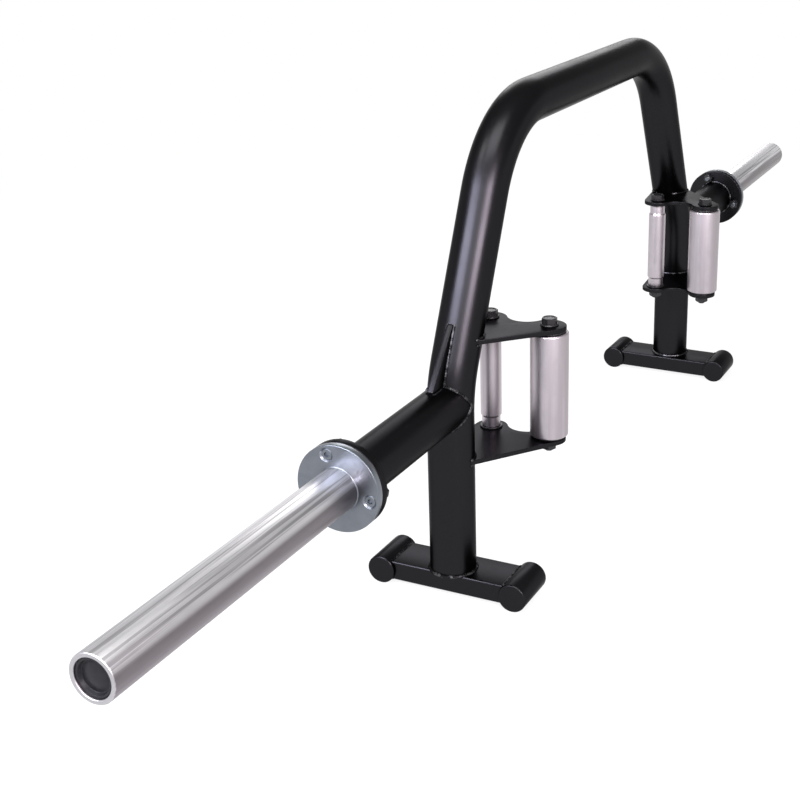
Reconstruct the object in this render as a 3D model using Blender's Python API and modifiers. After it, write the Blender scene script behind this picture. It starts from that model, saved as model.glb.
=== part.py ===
"""Open-ended trap bar that stands on its own feet, in metres, +Z up.

The arch lies in the XZ plane, left is -X and right is +X. The lifter walks in along Y, and the thick
grips are on the -Y side. The origin is on the floor, midway between the posts.
"""

import math

import bmesh
import bpy
from mathutils import Matrix, Vector

# Clearances
SEAT_GAP = 0.0003
PIN_GAP = 0.0004

# Arch: one bent tube, described by the corners of its centre line
TUBE_DIAMETER = 0.060
TUBE_WALL = 0.003
POST_X = 0.448
KINK_Z = 0.278
KINK_RADIUS = 0.150
CORNER_X = 0.2975
CORNER_RADIUS = 0.162
TOP_Z = 0.597

# Sleeves, their flanges and the stub tubes, all on one level axis
SLEEVE_Z = 0.2605
SLEEVE_DIAMETER = 0.050
SLEEVE_WALL = 0.005
SLEEVE_LENGTH = 0.406
SLEEVE_SEAT_DEPTH = 0.003
SLEEVE_CHAMFER = 0.0015
STUB_LENGTH = 0.2548
FRAME_FLANGE_THICKNESS = 0.011
SLEEVE_FLANGE_THICKNESS = 0.009
FLANGE_DIAMETER = 0.102
FLANGE_CHAMFER = 0.001
CAP_RECESS = 0.002
CAP_LENGTH = 0.014
CAP_RIM = 0.0025
CAP_DISH = 0.0008

# Flange screws and nuts
SCREW_COUNT = 3
SCREW_CIRCLE = 0.080
SCREW_FIRST_ANGLE = 71.5
SCREW_DIAMETER = 0.008
SCREW_HEAD_DIAMETER = 0.0165
SCREW_LAND = 0.0006
SCREW_SINK = 0.0008
SCREW_TIP = 0.004
SCREW_SOCKET = 0.006
SCREW_SOCKET_DEPTH = 0.003
FLANGE_NUT_WIDTH = 0.014
FLANGE_NUT_HEIGHT = 0.0105

# Gusset between the stub tube and the leg, its reach from the post's axis and its rise from the stub's
GUSSET_THICKNESS = 0.008
GUSSET_REACH = 0.055
GUSSET_RISE = 0.1005
GUSSET_TIP = 0.003

# Feet
FOOT_INSET = 0.008
FOOT_BAR_WIDTH = 0.060
FOOT_BAR_THICKNESS = 0.026
FOOT_BAR_EDGE = 0.0015
FOOT_ROUND_DIAMETER = 0.038
FOOT_ROUND_LENGTH = 0.070
FOOT_ROUND_SPREAD = 0.187
FOOT_ROUND_EDGE = 0.002

# Grips and the two plates that carry them
GRIP_X = 0.338
THICK_GRIP_Y = -0.0875
THIN_GRIP_Y = -0.005
GRIP_CENTRE_Z = 0.2605
GRIP_SPACE = 0.146
PLATE_THICKNESS = 0.006
PLATE_LOBE_DIAMETER = 0.044
PLATE_NOTCH_DIAMETER = 0.052
PLATE_ROOT_INSET = 0.003
THICK_GRIP_DIAMETER = 0.050
THICK_GRIP_WALL = 0.003
THICK_GRIP_CHAMFER = 0.0025
BUSH_LENGTH = 0.020
THIN_GRIP_DIAMETER = 0.028
THIN_NECK_DIAMETER = 0.0245
THIN_NECK_LENGTH = 0.013
THIN_SHOULDER = 0.0025
THICK_WASHER_DIAMETER = 0.042
THIN_WASHER_DIAMETER = 0.030
WASHER_THICKNESS = 0.002

# Grip bolts and nuts
BOLT_DIAMETER = 0.012
BOLT_TIP = 0.003
BOLT_TIP_CHAMFER = 0.001
BOLT_COLLAR_DIAMETER = 0.024
BOLT_COLLAR_HEIGHT = 0.002
BOLT_HEAD_WIDTH = 0.018
BOLT_HEAD_HEIGHT = 0.0075
GRIP_NUT_HEIGHT = 0.0105

# Facets
TUBE_SIDES = 24
DISC_SIDES = 28
GRIP_SIDES = 28
SMALL_SIDES = 12
FOOT_ROUND_SIDES = 18
LOBE_STEPS = 7
BEND_STEP = math.radians(10)

# Sizes and places that follow from the ones above
TUBE_RADIUS = TUBE_DIAMETER / 2
SLEEVE_RADIUS = SLEEVE_DIAMETER / 2
SLEEVE_BORE = SLEEVE_RADIUS - SLEEVE_WALL
FLANGE_RADIUS = FLANGE_DIAMETER / 2
STUB_END_X = POST_X + STUB_LENGTH
FRAME_FLANGE_X = STUB_END_X + SEAT_GAP
SLEEVE_FLANGE_X = FRAME_FLANGE_X + FRAME_FLANGE_THICKNESS + SEAT_GAP
SLEEVE_FACE_X = SLEEVE_FLANGE_X + SLEEVE_FLANGE_THICKNESS
SLEEVE_START_X = SLEEVE_FACE_X - SLEEVE_SEAT_DEPTH + SEAT_GAP
SLEEVE_END_X = SLEEVE_FACE_X + SLEEVE_LENGTH
FOOT_X = POST_X - FOOT_INSET
FOOT_AXIS_Z = FOOT_ROUND_DIAMETER / 2
FOOT_ROUND_Y = FOOT_ROUND_SPREAD / 2
FOOT_BAR_TOP = FOOT_AXIS_Z + FOOT_BAR_THICKNESS / 2
POST_FOOT_Z = FOOT_BAR_TOP + SEAT_GAP
UPPER_PLATE_Z = GRIP_CENTRE_Z + GRIP_SPACE / 2
LOWER_PLATE_Z = GRIP_CENTRE_Z - GRIP_SPACE / 2 - PLATE_THICKNESS
GRIP_LENGTH = GRIP_SPACE - 2 * (WASHER_THICKNESS + 2 * SEAT_GAP)
PIN_BORE = BOLT_DIAMETER / 2 + PIN_GAP
GUSSET_FOOT_X = POST_X + GUSSET_REACH
GUSSET_TOP_Z = SLEEVE_Z + GUSSET_RISE

UP = Vector((0, 0, 1))


def hexagon_radius(width):
    """Corner radius of a hexagon, from its width across the flats."""
    return width / math.sqrt(3)


def clear_scene():
    for thing in list(bpy.data.objects):
        bpy.data.objects.remove(thing, do_unlink=True)


def new_collection(name):
    group = bpy.data.collections.new(name)
    bpy.context.scene.collection.children.link(group)
    return group


def new_material(name, colour, metallic, roughness):
    finish = bpy.data.materials.new(name)
    finish.use_nodes = True
    shader = finish.node_tree.nodes["Principled BSDF"]
    shader.inputs["Base Color"].default_value = (*colour, 1.0)
    shader.inputs["Metallic"].default_value = metallic
    shader.inputs["Roughness"].default_value = roughness
    finish.diffuse_color = (*colour, 1.0)
    return finish


clear_scene()
PARTS = new_collection("trap_bar")
CUTTERS = new_collection("cutters")
BLACK_COAT = new_material("black_powder_coat", (0.012, 0.012, 0.013), 0.0, 0.36)
BRIGHT_STEEL = new_material("bright_steel", (0.72, 0.71, 0.72), 1.0, 0.22)
ZINC = new_material("zinc_plate", (0.52, 0.56, 0.60), 1.0, 0.38)
GRIP_STEEL = new_material("grip_steel", (0.62, 0.59, 0.61), 1.0, 0.42)
BLACK_OXIDE = new_material("black_oxide", (0.02, 0.02, 0.022), 0.6, 0.40)
CAP_PLASTIC = new_material("cap_plastic", (0.015, 0.015, 0.016), 0.0, 0.45)


def add_object(name, mesh, finish=None):
    """Links a new object. Without a finish it's a cutter, which is drawn as wire and not rendered."""
    body = bpy.data.objects.new(name, mesh)
    if finish is None:
        CUTTERS.objects.link(body)
        body.hide_render = True
        body.display_type = "WIRE"
    else:
        PARTS.objects.link(body)
        mesh.materials.clear()
        mesh.materials.append(finish)
    return body


def place(body, point, axis=UP, facing=None):
    """Puts the body's own Z along axis, and its own X towards facing."""
    along = Vector(axis).normalized()
    across = Vector(facing) if facing else along.orthogonal()
    across = (across - along * across.dot(along)).normalized()
    turned_to = Matrix((across, along.cross(across), along)).transposed().to_4x4()
    body.matrix_world = Matrix.Translation(point) @ turned_to
    return body


def combine(body, tool, operation="DIFFERENCE"):
    step = body.modifiers.new(operation.title(), "BOOLEAN")
    step.operation = operation
    step.object = tool
    step.solver = "EXACT"


def settle(body):
    """Swaps the body's mesh for what its modifiers make of it, smooth but for the real edges."""
    bpy.context.view_layer.update()
    depsgraph = bpy.context.evaluated_depsgraph_get()
    mesh = bpy.data.meshes.new_from_object(body.evaluated_get(depsgraph))
    mesh.name = body.name
    mesh.shade_smooth()
    mesh.set_sharp_from_angle(angle=math.radians(32))
    body.modifiers.clear()
    body.data = mesh
    return body


def bmesh_object(name, shape, finish=None):
    mesh = bpy.data.meshes.new(name)
    shape.to_mesh(mesh)
    shape.free()
    return add_object(name, mesh, finish)


def rod(name, radius, length, sides, finish=None, turn=0.0):
    """A straight bar along its own Z, from 0 to length, its first corner turned from X."""
    shape = bmesh.new()
    corner_to_x = -math.pi / 2
    spot = Matrix.Translation((0, 0, length / 2)) @ Matrix.Rotation(turn + corner_to_x, 4, "Z")
    bmesh.ops.create_cone(
        shape,
        cap_ends=True,
        segments=sides,
        radius1=radius,
        radius2=radius,
        depth=length,
        matrix=spot,
    )
    return bmesh_object(name, shape, finish)


def turned(name, profile, finish=None, closed=False, sides=GRIP_SIDES):
    """A shape turned about its own Z from (radius, height) points that run down its outer side.

    A closed profile makes a ring, and an open one starts and ends on the axis.
    """
    shape = bmesh.new()
    points = [shape.verts.new((radius, 0, height)) for radius, height in profile]
    for first, second in zip(points, points[1:]):
        shape.edges.new((first, second))
    if closed:
        shape.edges.new((points[-1], points[0]))
    body = bmesh_object(name, shape, finish)
    screw = body.modifiers.new("Turn", "SCREW")
    screw.steps = sides
    screw.render_steps = sides
    screw.use_merge_vertices = True
    screw.merge_threshold = 0.00001
    return settle(body)


def ring(name, outer, bore, length, finish=None, chamfer=0.0, bore_chamfer=0.0, sides=GRIP_SIDES):
    """A tube, washer or bush along its own Z, from 0 to length, with chamfered ends."""
    profile = [(outer, length - chamfer), (outer, chamfer)]
    if chamfer:
        profile.append((outer - chamfer, 0))
    if bore_chamfer:
        profile.append((bore + bore_chamfer, 0))
        profile.append((bore, bore_chamfer))
        profile.append((bore, length - bore_chamfer))
        profile.append((bore + bore_chamfer, length))
    else:
        profile.append((bore, 0))
        profile.append((bore, length))
    if chamfer:
        profile.append((outer - chamfer, length))
    return turned(name, profile, finish, closed=True, sides=sides)


def extruded_outline(name, outline, thickness, finish=None):
    """A flat plate in its own XY plane, half its thickness to each side, as a closed mesh."""
    curve = bpy.data.curves.new(name, "CURVE")
    curve.dimensions = "2D"
    curve.fill_mode = "BOTH"
    curve.extrude = thickness / 2
    spline = curve.splines.new("POLY")
    spline.points.add(len(outline) - 1)
    for point, (x, y) in zip(spline.points, outline):
        point.co = (x, y, 0, 1)
    spline.use_cyclic_u = True
    return meshed_curve(name, curve, finish)


def bar_along(name, path, radius, finish=None):
    """A round bar along a path of points, with flat ends, as a closed mesh."""
    curve = bpy.data.curves.new(name, "CURVE")
    curve.dimensions = "3D"
    curve.bevel_depth = radius
    curve.bevel_resolution = (TUBE_SIDES - 4) // 2
    curve.use_fill_caps = True
    spline = curve.splines.new("POLY")
    spline.points.add(len(path) - 1)
    for point, spot in zip(spline.points, path):
        point.co = (*spot, 1)
    return meshed_curve(name, curve, finish)


def meshed_curve(name, curve, finish):
    holder = bpy.data.objects.new(name + "_curve", curve)
    CUTTERS.objects.link(holder)
    bpy.context.view_layer.update()
    depsgraph = bpy.context.evaluated_depsgraph_get()
    mesh = bpy.data.meshes.new_from_object(holder.evaluated_get(depsgraph))
    spot = holder.matrix_world.copy()
    bpy.data.objects.remove(holder, do_unlink=True)
    shape = bmesh.new()
    shape.from_mesh(mesh)
    bmesh.ops.remove_doubles(shape, verts=shape.verts, dist=0.000001)
    shape.to_mesh(mesh)
    shape.free()
    body = add_object(name, mesh, finish)
    body.matrix_world = spot
    return body


def rounded_path(corners, radii):
    """Points along straight runs, joined at the inner corners by arcs of the given radii."""
    points = [corners[0]]
    for before, corner, after, radius in zip(corners, corners[1:], corners[2:], radii):
        heading = (corner - before).normalized()
        leaving = (after - corner).normalized()
        turn = heading.angle(leaving)
        start = corner - heading * radius * math.tan(turn / 2)
        inward = (leaving - heading * leaving.dot(heading)).normalized()
        centre = start + inward * radius
        steps = math.ceil(turn / BEND_STEP)
        for step in range(steps + 1):
            angle = turn * step / steps
            spoke = heading * math.sin(angle) - inward * math.cos(angle)
            points.append(centre + spoke * radius)
    points.append(corners[-1])
    return points


def arch_path():
    """Centre line of the arch, from the right post's foot over to the left one."""
    right = [
        Vector((POST_X, 0, POST_FOOT_Z)),
        Vector((POST_X, 0, KINK_Z)),
        Vector((CORNER_X, 0, TOP_Z)),
    ]
    left = [Vector((-spot.x, 0, spot.z)) for spot in reversed(right)]
    radii = [KINK_RADIUS, CORNER_RADIUS, CORNER_RADIUS, KINK_RADIUS]
    return rounded_path(right + left, radii)


ARCH_PATH = arch_path()


def arch_x_at(height):
    """Distance of the arch's centre line from the middle, at a height below its top."""
    for low, high in zip(ARCH_PATH, ARCH_PATH[1:]):
        if low.z <= height <= high.z:
            share = (height - low.z) / (high.z - low.z)
            return low.x + (high.x - low.x) * share
    return POST_X


def arc(centre, radius, start, end, steps):
    """Points on a circle from one angle to another, both ends included."""
    points = []
    for step in range(steps + 1):
        angle = start + (end - start) * step / steps
        points.append(centre + radius * Vector((math.cos(angle), math.sin(angle))))
    return points


def tangent_angle(first, first_radius, second, second_radius):
    """Angle of the radii that meet the tangent line on the right of the way from first to second."""
    way = second - first
    lean = math.asin((first_radius - second_radius) / way.length)
    return math.atan2(way.y, way.x) - math.pi / 2 + lean


def plate_outline(root_x, side):
    """Two lobes round the grip bolts, with a notch between them, tapering from the arch tube."""
    root = Vector((root_x, 0))
    thick = Vector((GRIP_X, THICK_GRIP_Y))
    thin = Vector((GRIP_X, THIN_GRIP_Y))
    root_radius = TUBE_RADIUS - PLATE_ROOT_INSET
    lobe = PLATE_LOBE_DIAMETER / 2
    notch = PLATE_NOTCH_DIAMETER / 2
    middle = (thick + thin) / 2
    reach = lobe + notch
    notch_centre = middle - Vector((math.sqrt(reach ** 2 - (thin - middle).length_squared), 0))

    # Anticlockwise seen from above: root, thin lobe, notch, thick lobe
    to_thin = tangent_angle(root, root_radius, thin, lobe)
    to_root = tangent_angle(thick, lobe, root, root_radius)
    thin_to_notch = math.atan2(notch_centre.y - thin.y, notch_centre.x - thin.x)
    thick_to_notch = math.atan2(notch_centre.y - thick.y, notch_centre.x - thick.x)
    full_turn = 2 * math.pi
    points = arc(root, root_radius, to_root, to_root + (to_thin - to_root) % full_turn, LOBE_STEPS)
    end = to_thin + (thin_to_notch - to_thin) % full_turn
    points += arc(thin, lobe, to_thin, end, LOBE_STEPS)
    inner_start = thin_to_notch + math.pi
    inner_end = inner_start - (inner_start - thick_to_notch - math.pi) % full_turn
    points += arc(notch_centre, notch, inner_start, inner_end, LOBE_STEPS)[1:]
    end = thick_to_notch + (to_root - thick_to_notch) % full_turn
    points += arc(thick, lobe, thick_to_notch, end, LOBE_STEPS)[1:]
    return [(side * spot.x, spot.y) for spot in points]


def hexagon_nut(name, width, height, bore, finish=None):
    """A chamfered hexagon along its own Z from 0 to height, with a flat towards its own X."""
    corner = hexagon_radius(width)
    chamfer = corner - width / 2
    body = ring(name, corner + SEAT_GAP, bore, height, finish, chamfer=chamfer, sides=SMALL_SIDES)
    flats = rod(name + "_flats", corner, 3 * height, 6, turn=math.radians(30))
    place(flats, (0, 0, -height), UP, (1, 0, 0))
    combine(body, flats, "INTERSECT")
    return settle(body)


def copy_of(body, name):
    twin = bpy.data.objects.new(name, body.data)
    PARTS.objects.link(twin)
    return twin


def make_arch():
    """The bent tube, hollow and open at both feet. Returns the cutter for what seats on it."""
    tube = bar_along("arch_tube", ARCH_PATH, TUBE_RADIUS, BLACK_COAT)
    run_out = Vector((0, 0, -TUBE_WALL))
    bore_path = [ARCH_PATH[0] + run_out] + ARCH_PATH[1:-1] + [ARCH_PATH[-1] + run_out]
    combine(tube, bar_along("arch_bore", bore_path, TUBE_RADIUS - TUBE_WALL))
    settle(tube)
    return bar_along("arch_clearance", ARCH_PATH, TUBE_RADIUS + SEAT_GAP)


def make_stub(side, name, arch_clearance):
    """The tube from the post out to the flange. Returns the cutter for what seats on it."""
    stub = ring(name + "_stub_tube", TUBE_RADIUS, TUBE_RADIUS - TUBE_WALL, STUB_LENGTH, BLACK_COAT,
                sides=TUBE_SIDES)
    start = (side * POST_X, 0, SLEEVE_Z)
    outward = (side, 0, 0)
    place(stub, start, outward, UP)
    combine(stub, arch_clearance)
    settle(stub)
    clearance = rod(name + "_stub_clearance", TUBE_RADIUS + SEAT_GAP, STUB_LENGTH, TUBE_SIDES)
    return place(clearance, start, outward, UP)


def make_gusset(side, name, arch_clearance, stub_clearance):
    """The triangular plate in the corner above the stub tube, drawn in the XZ plane."""
    lean = math.atan2(POST_X - CORNER_X, TOP_Z - KINK_Z)
    leg_x = arch_x_at(GUSSET_TOP_Z)
    leg_face_x = leg_x + TUBE_RADIUS / math.cos(lean)
    stub_face_z = SLEEVE_Z + TUBE_RADIUS
    outline = [
        (side * POST_X, SLEEVE_Z),
        (side * GUSSET_FOOT_X, SLEEVE_Z),
        (side * GUSSET_FOOT_X, stub_face_z + GUSSET_TIP),
        (side * (leg_face_x + GUSSET_TIP), GUSSET_TOP_Z),
        (side * leg_x, GUSSET_TOP_Z),
    ]
    gusset = extruded_outline(name + "_gusset", outline, GUSSET_THICKNESS, BLACK_COAT)
    place(gusset, (0, 0, 0), (0, -1, 0), (1, 0, 0))
    combine(gusset, arch_clearance)
    combine(gusset, stub_clearance)
    settle(gusset)


def disc(name, radius, thickness, finish, seat_radius=0.0, seat_depth=0.0):
    """A chamfered disc along its own Z, from 0 to thickness, with a round seat sunk in its face."""
    profile = [(0, thickness - seat_depth)]
    if seat_depth:
        profile.append((seat_radius, thickness - seat_depth))
        profile.append((seat_radius, thickness))
    profile += [
        (radius - FLANGE_CHAMFER, thickness),
        (radius, thickness - FLANGE_CHAMFER),
        (radius, FLANGE_CHAMFER),
        (radius - FLANGE_CHAMFER, 0),
        (0, 0),
    ]
    return turned(name, profile, finish, sides=DISC_SIDES)


def screw_spot(side, x, number):
    """Place of a flange screw, and the way from it to the sleeve's axis."""
    angle = math.radians(SCREW_FIRST_ANGLE + 360 * number / SCREW_COUNT)
    spoke = Vector((0, math.cos(angle), math.sin(angle)))
    return Vector((side * x, 0, SLEEVE_Z)) + spoke * SCREW_CIRCLE / 2, -spoke


def screw_profile(length, grow):
    """Outline of a countersunk screw, its head's face at 0, grown by a clearance for its hole."""
    head = SCREW_HEAD_DIAMETER / 2 + grow
    shank = SCREW_DIAMETER / 2 + grow
    top = SCREW_SINK + grow if grow else 0
    cone_end = -SCREW_LAND - (head - shank)
    return [(0, top), (head, top), (head, -SCREW_LAND), (shank, cone_end), (shank, -length), (0, -length)]


def make_flanges(side, name):
    """The black flange on the stub, and the zinc one with the sleeve's seat, drilled for the screws."""
    outward = (side, 0, 0)
    frame_flange = disc(name + "_frame_flange", FLANGE_RADIUS, FRAME_FLANGE_THICKNESS, BLACK_COAT)
    sleeve_flange = disc(name + "_sleeve_flange", FLANGE_RADIUS, SLEEVE_FLANGE_THICKNESS, ZINC,
                         SLEEVE_RADIUS + SEAT_GAP, SLEEVE_SEAT_DEPTH)
    place(frame_flange, (side * FRAME_FLANGE_X, 0, SLEEVE_Z), outward, UP)
    place(sleeve_flange, (side * SLEEVE_FLANGE_X, 0, SLEEVE_Z), outward, UP)
    through = SLEEVE_FACE_X - FRAME_FLANGE_X + SCREW_TIP
    for number in range(SCREW_COUNT):
        hole = turned(f"{name}_screw_hole_{number + 1}", screw_profile(through, SEAT_GAP),
                      sides=SMALL_SIDES)
        spot, inward = screw_spot(side, SLEEVE_FACE_X - SCREW_SINK, number)
        place(hole, spot, outward, inward)
        combine(frame_flange, hole)
        combine(sleeve_flange, hole)
    settle(frame_flange)
    settle(sleeve_flange)


def flange_screw():
    """A countersunk screw with a hexagon socket, its head's face at 0 and its tip below."""
    length = SLEEVE_FACE_X - SCREW_SINK - FRAME_FLANGE_X + SEAT_GAP + FLANGE_NUT_HEIGHT + SCREW_TIP
    screw = turned("flange_screw", screw_profile(length, 0), ZINC, sides=SMALL_SIDES)
    socket = rod("screw_socket", hexagon_radius(SCREW_SOCKET), 2 * SCREW_SOCKET_DEPTH, 6)
    place(socket, (0, 0, -SCREW_SOCKET_DEPTH))
    combine(screw, socket)
    return settle(screw)


def make_flange_fasteners():
    """Three screws from the sleeve side of each flange pair, with their nuts on the frame side."""
    screw = flange_screw()
    nut = hexagon_nut("flange_nut", FLANGE_NUT_WIDTH, FLANGE_NUT_HEIGHT,
                      SCREW_DIAMETER / 2 + SEAT_GAP, BLACK_OXIDE)
    nut_x = FRAME_FLANGE_X - SEAT_GAP - FLANGE_NUT_HEIGHT
    for side, name in SIDES:
        outward = (side, 0, 0)
        for number in range(SCREW_COUNT):
            spot, inward = screw_spot(side, SLEEVE_FACE_X - SCREW_SINK, number)
            place(copy_of(screw, f"{name}_flange_screw_{number + 1}"), spot, outward, inward)
            spot, inward = screw_spot(side, nut_x, number)
            place(copy_of(nut, f"{name}_flange_nut_{number + 1}"), spot, outward, inward)
    bpy.data.objects.remove(screw)
    bpy.data.objects.remove(nut)


def make_sleeve(side, name):
    """The hollow sleeve, and the plug that closes its open end."""
    outward = (side, 0, 0)
    length = SLEEVE_END_X - SLEEVE_START_X
    sleeve = ring(name + "_sleeve", SLEEVE_RADIUS, SLEEVE_BORE, length, BRIGHT_STEEL,
                  chamfer=SLEEVE_CHAMFER)
    place(sleeve, (side * SLEEVE_START_X, 0, SLEEVE_Z), outward, UP)
    radius = SLEEVE_BORE - SEAT_GAP
    profile = [
        (0, CAP_LENGTH - CAP_DISH),
        (radius - CAP_RIM - CAP_DISH, CAP_LENGTH - CAP_DISH),
        (radius - CAP_RIM, CAP_LENGTH),
        (radius, CAP_LENGTH),
        (radius, 0),
        (0, 0),
    ]
    cap = turned(name + "_sleeve_cap", profile, CAP_PLASTIC)
    place(cap, (side * (SLEEVE_END_X - CAP_RECESS - CAP_LENGTH), 0, SLEEVE_Z), outward, UP)


def make_foot(side, name):
    """A flat bar across the post's foot, its hollowed ends welded to two round bars."""
    shape = bmesh.new()
    size = Matrix.Diagonal((FOOT_BAR_WIDTH, FOOT_ROUND_SPREAD, FOOT_BAR_THICKNESS, 1))
    bmesh.ops.create_cube(shape, size=1, matrix=size)
    bar = bmesh_object(name + "_foot_bar", shape, BLACK_COAT)
    bar.location = (side * FOOT_X, 0, FOOT_AXIS_Z)
    rounding = bar.modifiers.new("Edges", "BEVEL")
    rounding.width = FOOT_BAR_EDGE
    rounding.segments = 2

    # The facets' flats lie at the round's real radius, and one of them faces the floor
    flat_corner = math.pi / FOOT_ROUND_SIDES
    across = 1 / math.cos(flat_corner)
    start_x = side * FOOT_X - FOOT_ROUND_LENGTH / 2
    for end, y in (("front", -FOOT_ROUND_Y), ("back", FOOT_ROUND_Y)):
        spot = (start_x, y, FOOT_AXIS_Z)
        foot_round = rod(f"{name}_{end}_foot_round", FOOT_AXIS_Z * across, FOOT_ROUND_LENGTH,
                         FOOT_ROUND_SIDES, BLACK_COAT, turn=flat_corner)
        place(foot_round, spot, (1, 0, 0), UP)
        edges = foot_round.modifiers.new("Edges", "BEVEL")
        edges.limit_method = "ANGLE"
        edges.angle_limit = math.radians(40)
        edges.width = FOOT_ROUND_EDGE
        edges.segments = 2
        settle(foot_round)
        clearance = rod(f"{name}_{end}_foot_clearance", (FOOT_AXIS_Z + SEAT_GAP) * across,
                        FOOT_ROUND_LENGTH, FOOT_ROUND_SIDES, turn=flat_corner)
        place(clearance, spot, (1, 0, 0), UP)
        combine(bar, clearance)
    settle(bar)


def make_grip_plates(side, name, arch_clearance):
    """The upper and lower plate, each hollowed to fit round the arch and drilled for the bolts."""
    for level, z in (("upper", UPPER_PLATE_Z), ("lower", LOWER_PLATE_Z)):
        middle = z + PLATE_THICKNESS / 2
        outline = plate_outline(arch_x_at(middle), side)
        plate = extruded_outline(f"{name}_{level}_grip_plate", outline, PLATE_THICKNESS, BLACK_COAT)
        plate.location = (0, 0, middle)
        combine(plate, arch_clearance)
        for grip, y in GRIPS:
            hole = rod(f"{name}_{level}_{grip}_hole", PIN_BORE, 3 * PLATE_THICKNESS, SMALL_SIDES)
            place(hole, (side * GRIP_X, y, z - PLATE_THICKNESS))
            combine(plate, hole)
        settle(plate)


def spin_axis(side, name, grip, y):
    """An empty on the axis about which a grip turns, at the grip's lower end."""
    axis = bpy.data.objects.new(f"{name}_{grip}_grip_axis", None)
    PARTS.objects.link(axis)
    axis.location = (side * GRIP_X, y, GRIP_CENTRE_Z - GRIP_LENGTH / 2)
    return axis


def ride_on(body, axis, height=0.0):
    body.parent = axis
    body.location = (0, 0, height)


def make_thick_grip(side, name):
    """A tube that turns on a bolt, carried by a bush pressed into each end."""
    axis = spin_axis(side, name, "thick", THICK_GRIP_Y)
    outer = THICK_GRIP_DIAMETER / 2
    bore = outer - THICK_GRIP_WALL
    grip = ring(name + "_thick_grip", outer, bore, GRIP_LENGTH, GRIP_STEEL,
                chamfer=THICK_GRIP_CHAMFER)
    ride_on(grip, axis)
    for level, height in (("lower", 0), ("upper", GRIP_LENGTH - BUSH_LENGTH)):
        bush = ring(f"{name}_thick_grip_{level}_bush", bore - SEAT_GAP, PIN_BORE, BUSH_LENGTH,
                    CAP_PLASTIC)
        ride_on(bush, axis, height)


def make_thin_grip(side, name):
    """A drilled bar that turns on a bolt, turned down to a smooth neck at each end."""
    axis = spin_axis(side, name, "thin", THIN_GRIP_Y)
    outer = THIN_GRIP_DIAMETER / 2
    neck = THIN_NECK_DIAMETER / 2
    shoulder = THIN_NECK_LENGTH + THIN_SHOULDER
    profile = [
        (neck, GRIP_LENGTH),
        (neck, GRIP_LENGTH - THIN_NECK_LENGTH),
        (outer, GRIP_LENGTH - shoulder),
        (outer, shoulder),
        (neck, THIN_NECK_LENGTH),
        (neck, 0),
        (PIN_BORE, 0),
        (PIN_BORE, GRIP_LENGTH),
    ]
    grip = turned(name + "_thin_grip", profile, GRIP_STEEL, closed=True)
    ride_on(grip, axis)


def grip_bolt():
    """A hexagon bolt with a collar, its shank down from 0 through both plates and the nut."""
    length = UPPER_PLATE_Z + PLATE_THICKNESS + SEAT_GAP - LOWER_PLATE_Z
    length += SEAT_GAP + GRIP_NUT_HEIGHT + BOLT_TIP
    shank = BOLT_DIAMETER / 2
    collar = BOLT_COLLAR_DIAMETER / 2
    profile = [
        (0, BOLT_COLLAR_HEIGHT),
        (collar, BOLT_COLLAR_HEIGHT),
        (collar, 0),
        (shank, 0),
        (shank, -length + BOLT_TIP_CHAMFER),
        (shank - BOLT_TIP_CHAMFER, -length),
        (0, -length),
    ]
    bolt = turned("grip_bolt", profile, BLACK_OXIDE, sides=SMALL_SIDES)
    corner = hexagon_radius(BOLT_HEAD_WIDTH)
    chamfer = corner - BOLT_HEAD_WIDTH / 2
    head_top = BOLT_COLLAR_HEIGHT + BOLT_HEAD_HEIGHT
    head_profile = [
        (0, head_top),
        (corner - chamfer, head_top),
        (corner, head_top - chamfer),
        (corner, BOLT_COLLAR_HEIGHT / 2),
        (0, BOLT_COLLAR_HEIGHT / 2),
    ]
    head = turned("bolt_head", head_profile)
    flats = rod("bolt_head_flats", corner, 3 * head_top, 6)
    place(flats, (0, 0, -head_top))
    combine(head, flats, "INTERSECT")
    settle(head)
    combine(bolt, head, "UNION")
    return settle(bolt)


def make_grip_fasteners():
    """The bolts the grips turn on, their nuts, and a thrust washer at each end of each grip."""
    bolt = grip_bolt()
    nut = hexagon_nut("grip_nut", BOLT_HEAD_WIDTH, GRIP_NUT_HEIGHT, BOLT_DIAMETER / 2 + SEAT_GAP,
                      BLACK_OXIDE)
    head_z = UPPER_PLATE_Z + PLATE_THICKNESS + SEAT_GAP
    nut_z = LOWER_PLATE_Z - SEAT_GAP - GRIP_NUT_HEIGHT
    washer_spots = (
        ("upper", UPPER_PLATE_Z - SEAT_GAP - WASHER_THICKNESS),
        ("lower", LOWER_PLATE_Z + PLATE_THICKNESS + SEAT_GAP),
    )
    washer_radii = {"thick": THICK_WASHER_DIAMETER / 2, "thin": THIN_WASHER_DIAMETER / 2}
    for side, name in SIDES:
        for grip, y in GRIPS:
            x = side * GRIP_X
            place(copy_of(bolt, f"{name}_{grip}_grip_bolt"), (x, y, head_z))
            place(copy_of(nut, f"{name}_{grip}_grip_nut"), (x, y, nut_z))
            for level, z in washer_spots:
                washer = ring(f"{name}_{grip}_grip_{level}_washer", washer_radii[grip], PIN_BORE,
                              WASHER_THICKNESS, BLACK_OXIDE, sides=DISC_SIDES // 2)
                place(washer, (x, y, z))
    bpy.data.objects.remove(bolt)
    bpy.data.objects.remove(nut)


SIDES = ((-1, "left"), (1, "right"))
GRIPS = (("thick", THICK_GRIP_Y), ("thin", THIN_GRIP_Y))


def main():
    arch_clearance = make_arch()
    for side, name in SIDES:
        stub_clearance = make_stub(side, name, arch_clearance)
        make_gusset(side, name, arch_clearance, stub_clearance)
        make_flanges(side, name)
        make_sleeve(side, name)
        make_foot(side, name)
        make_grip_plates(side, name, arch_clearance)
        make_thick_grip(side, name)
        make_thin_grip(side, name)
    make_flange_fasteners()
    make_grip_fasteners()


main()
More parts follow.
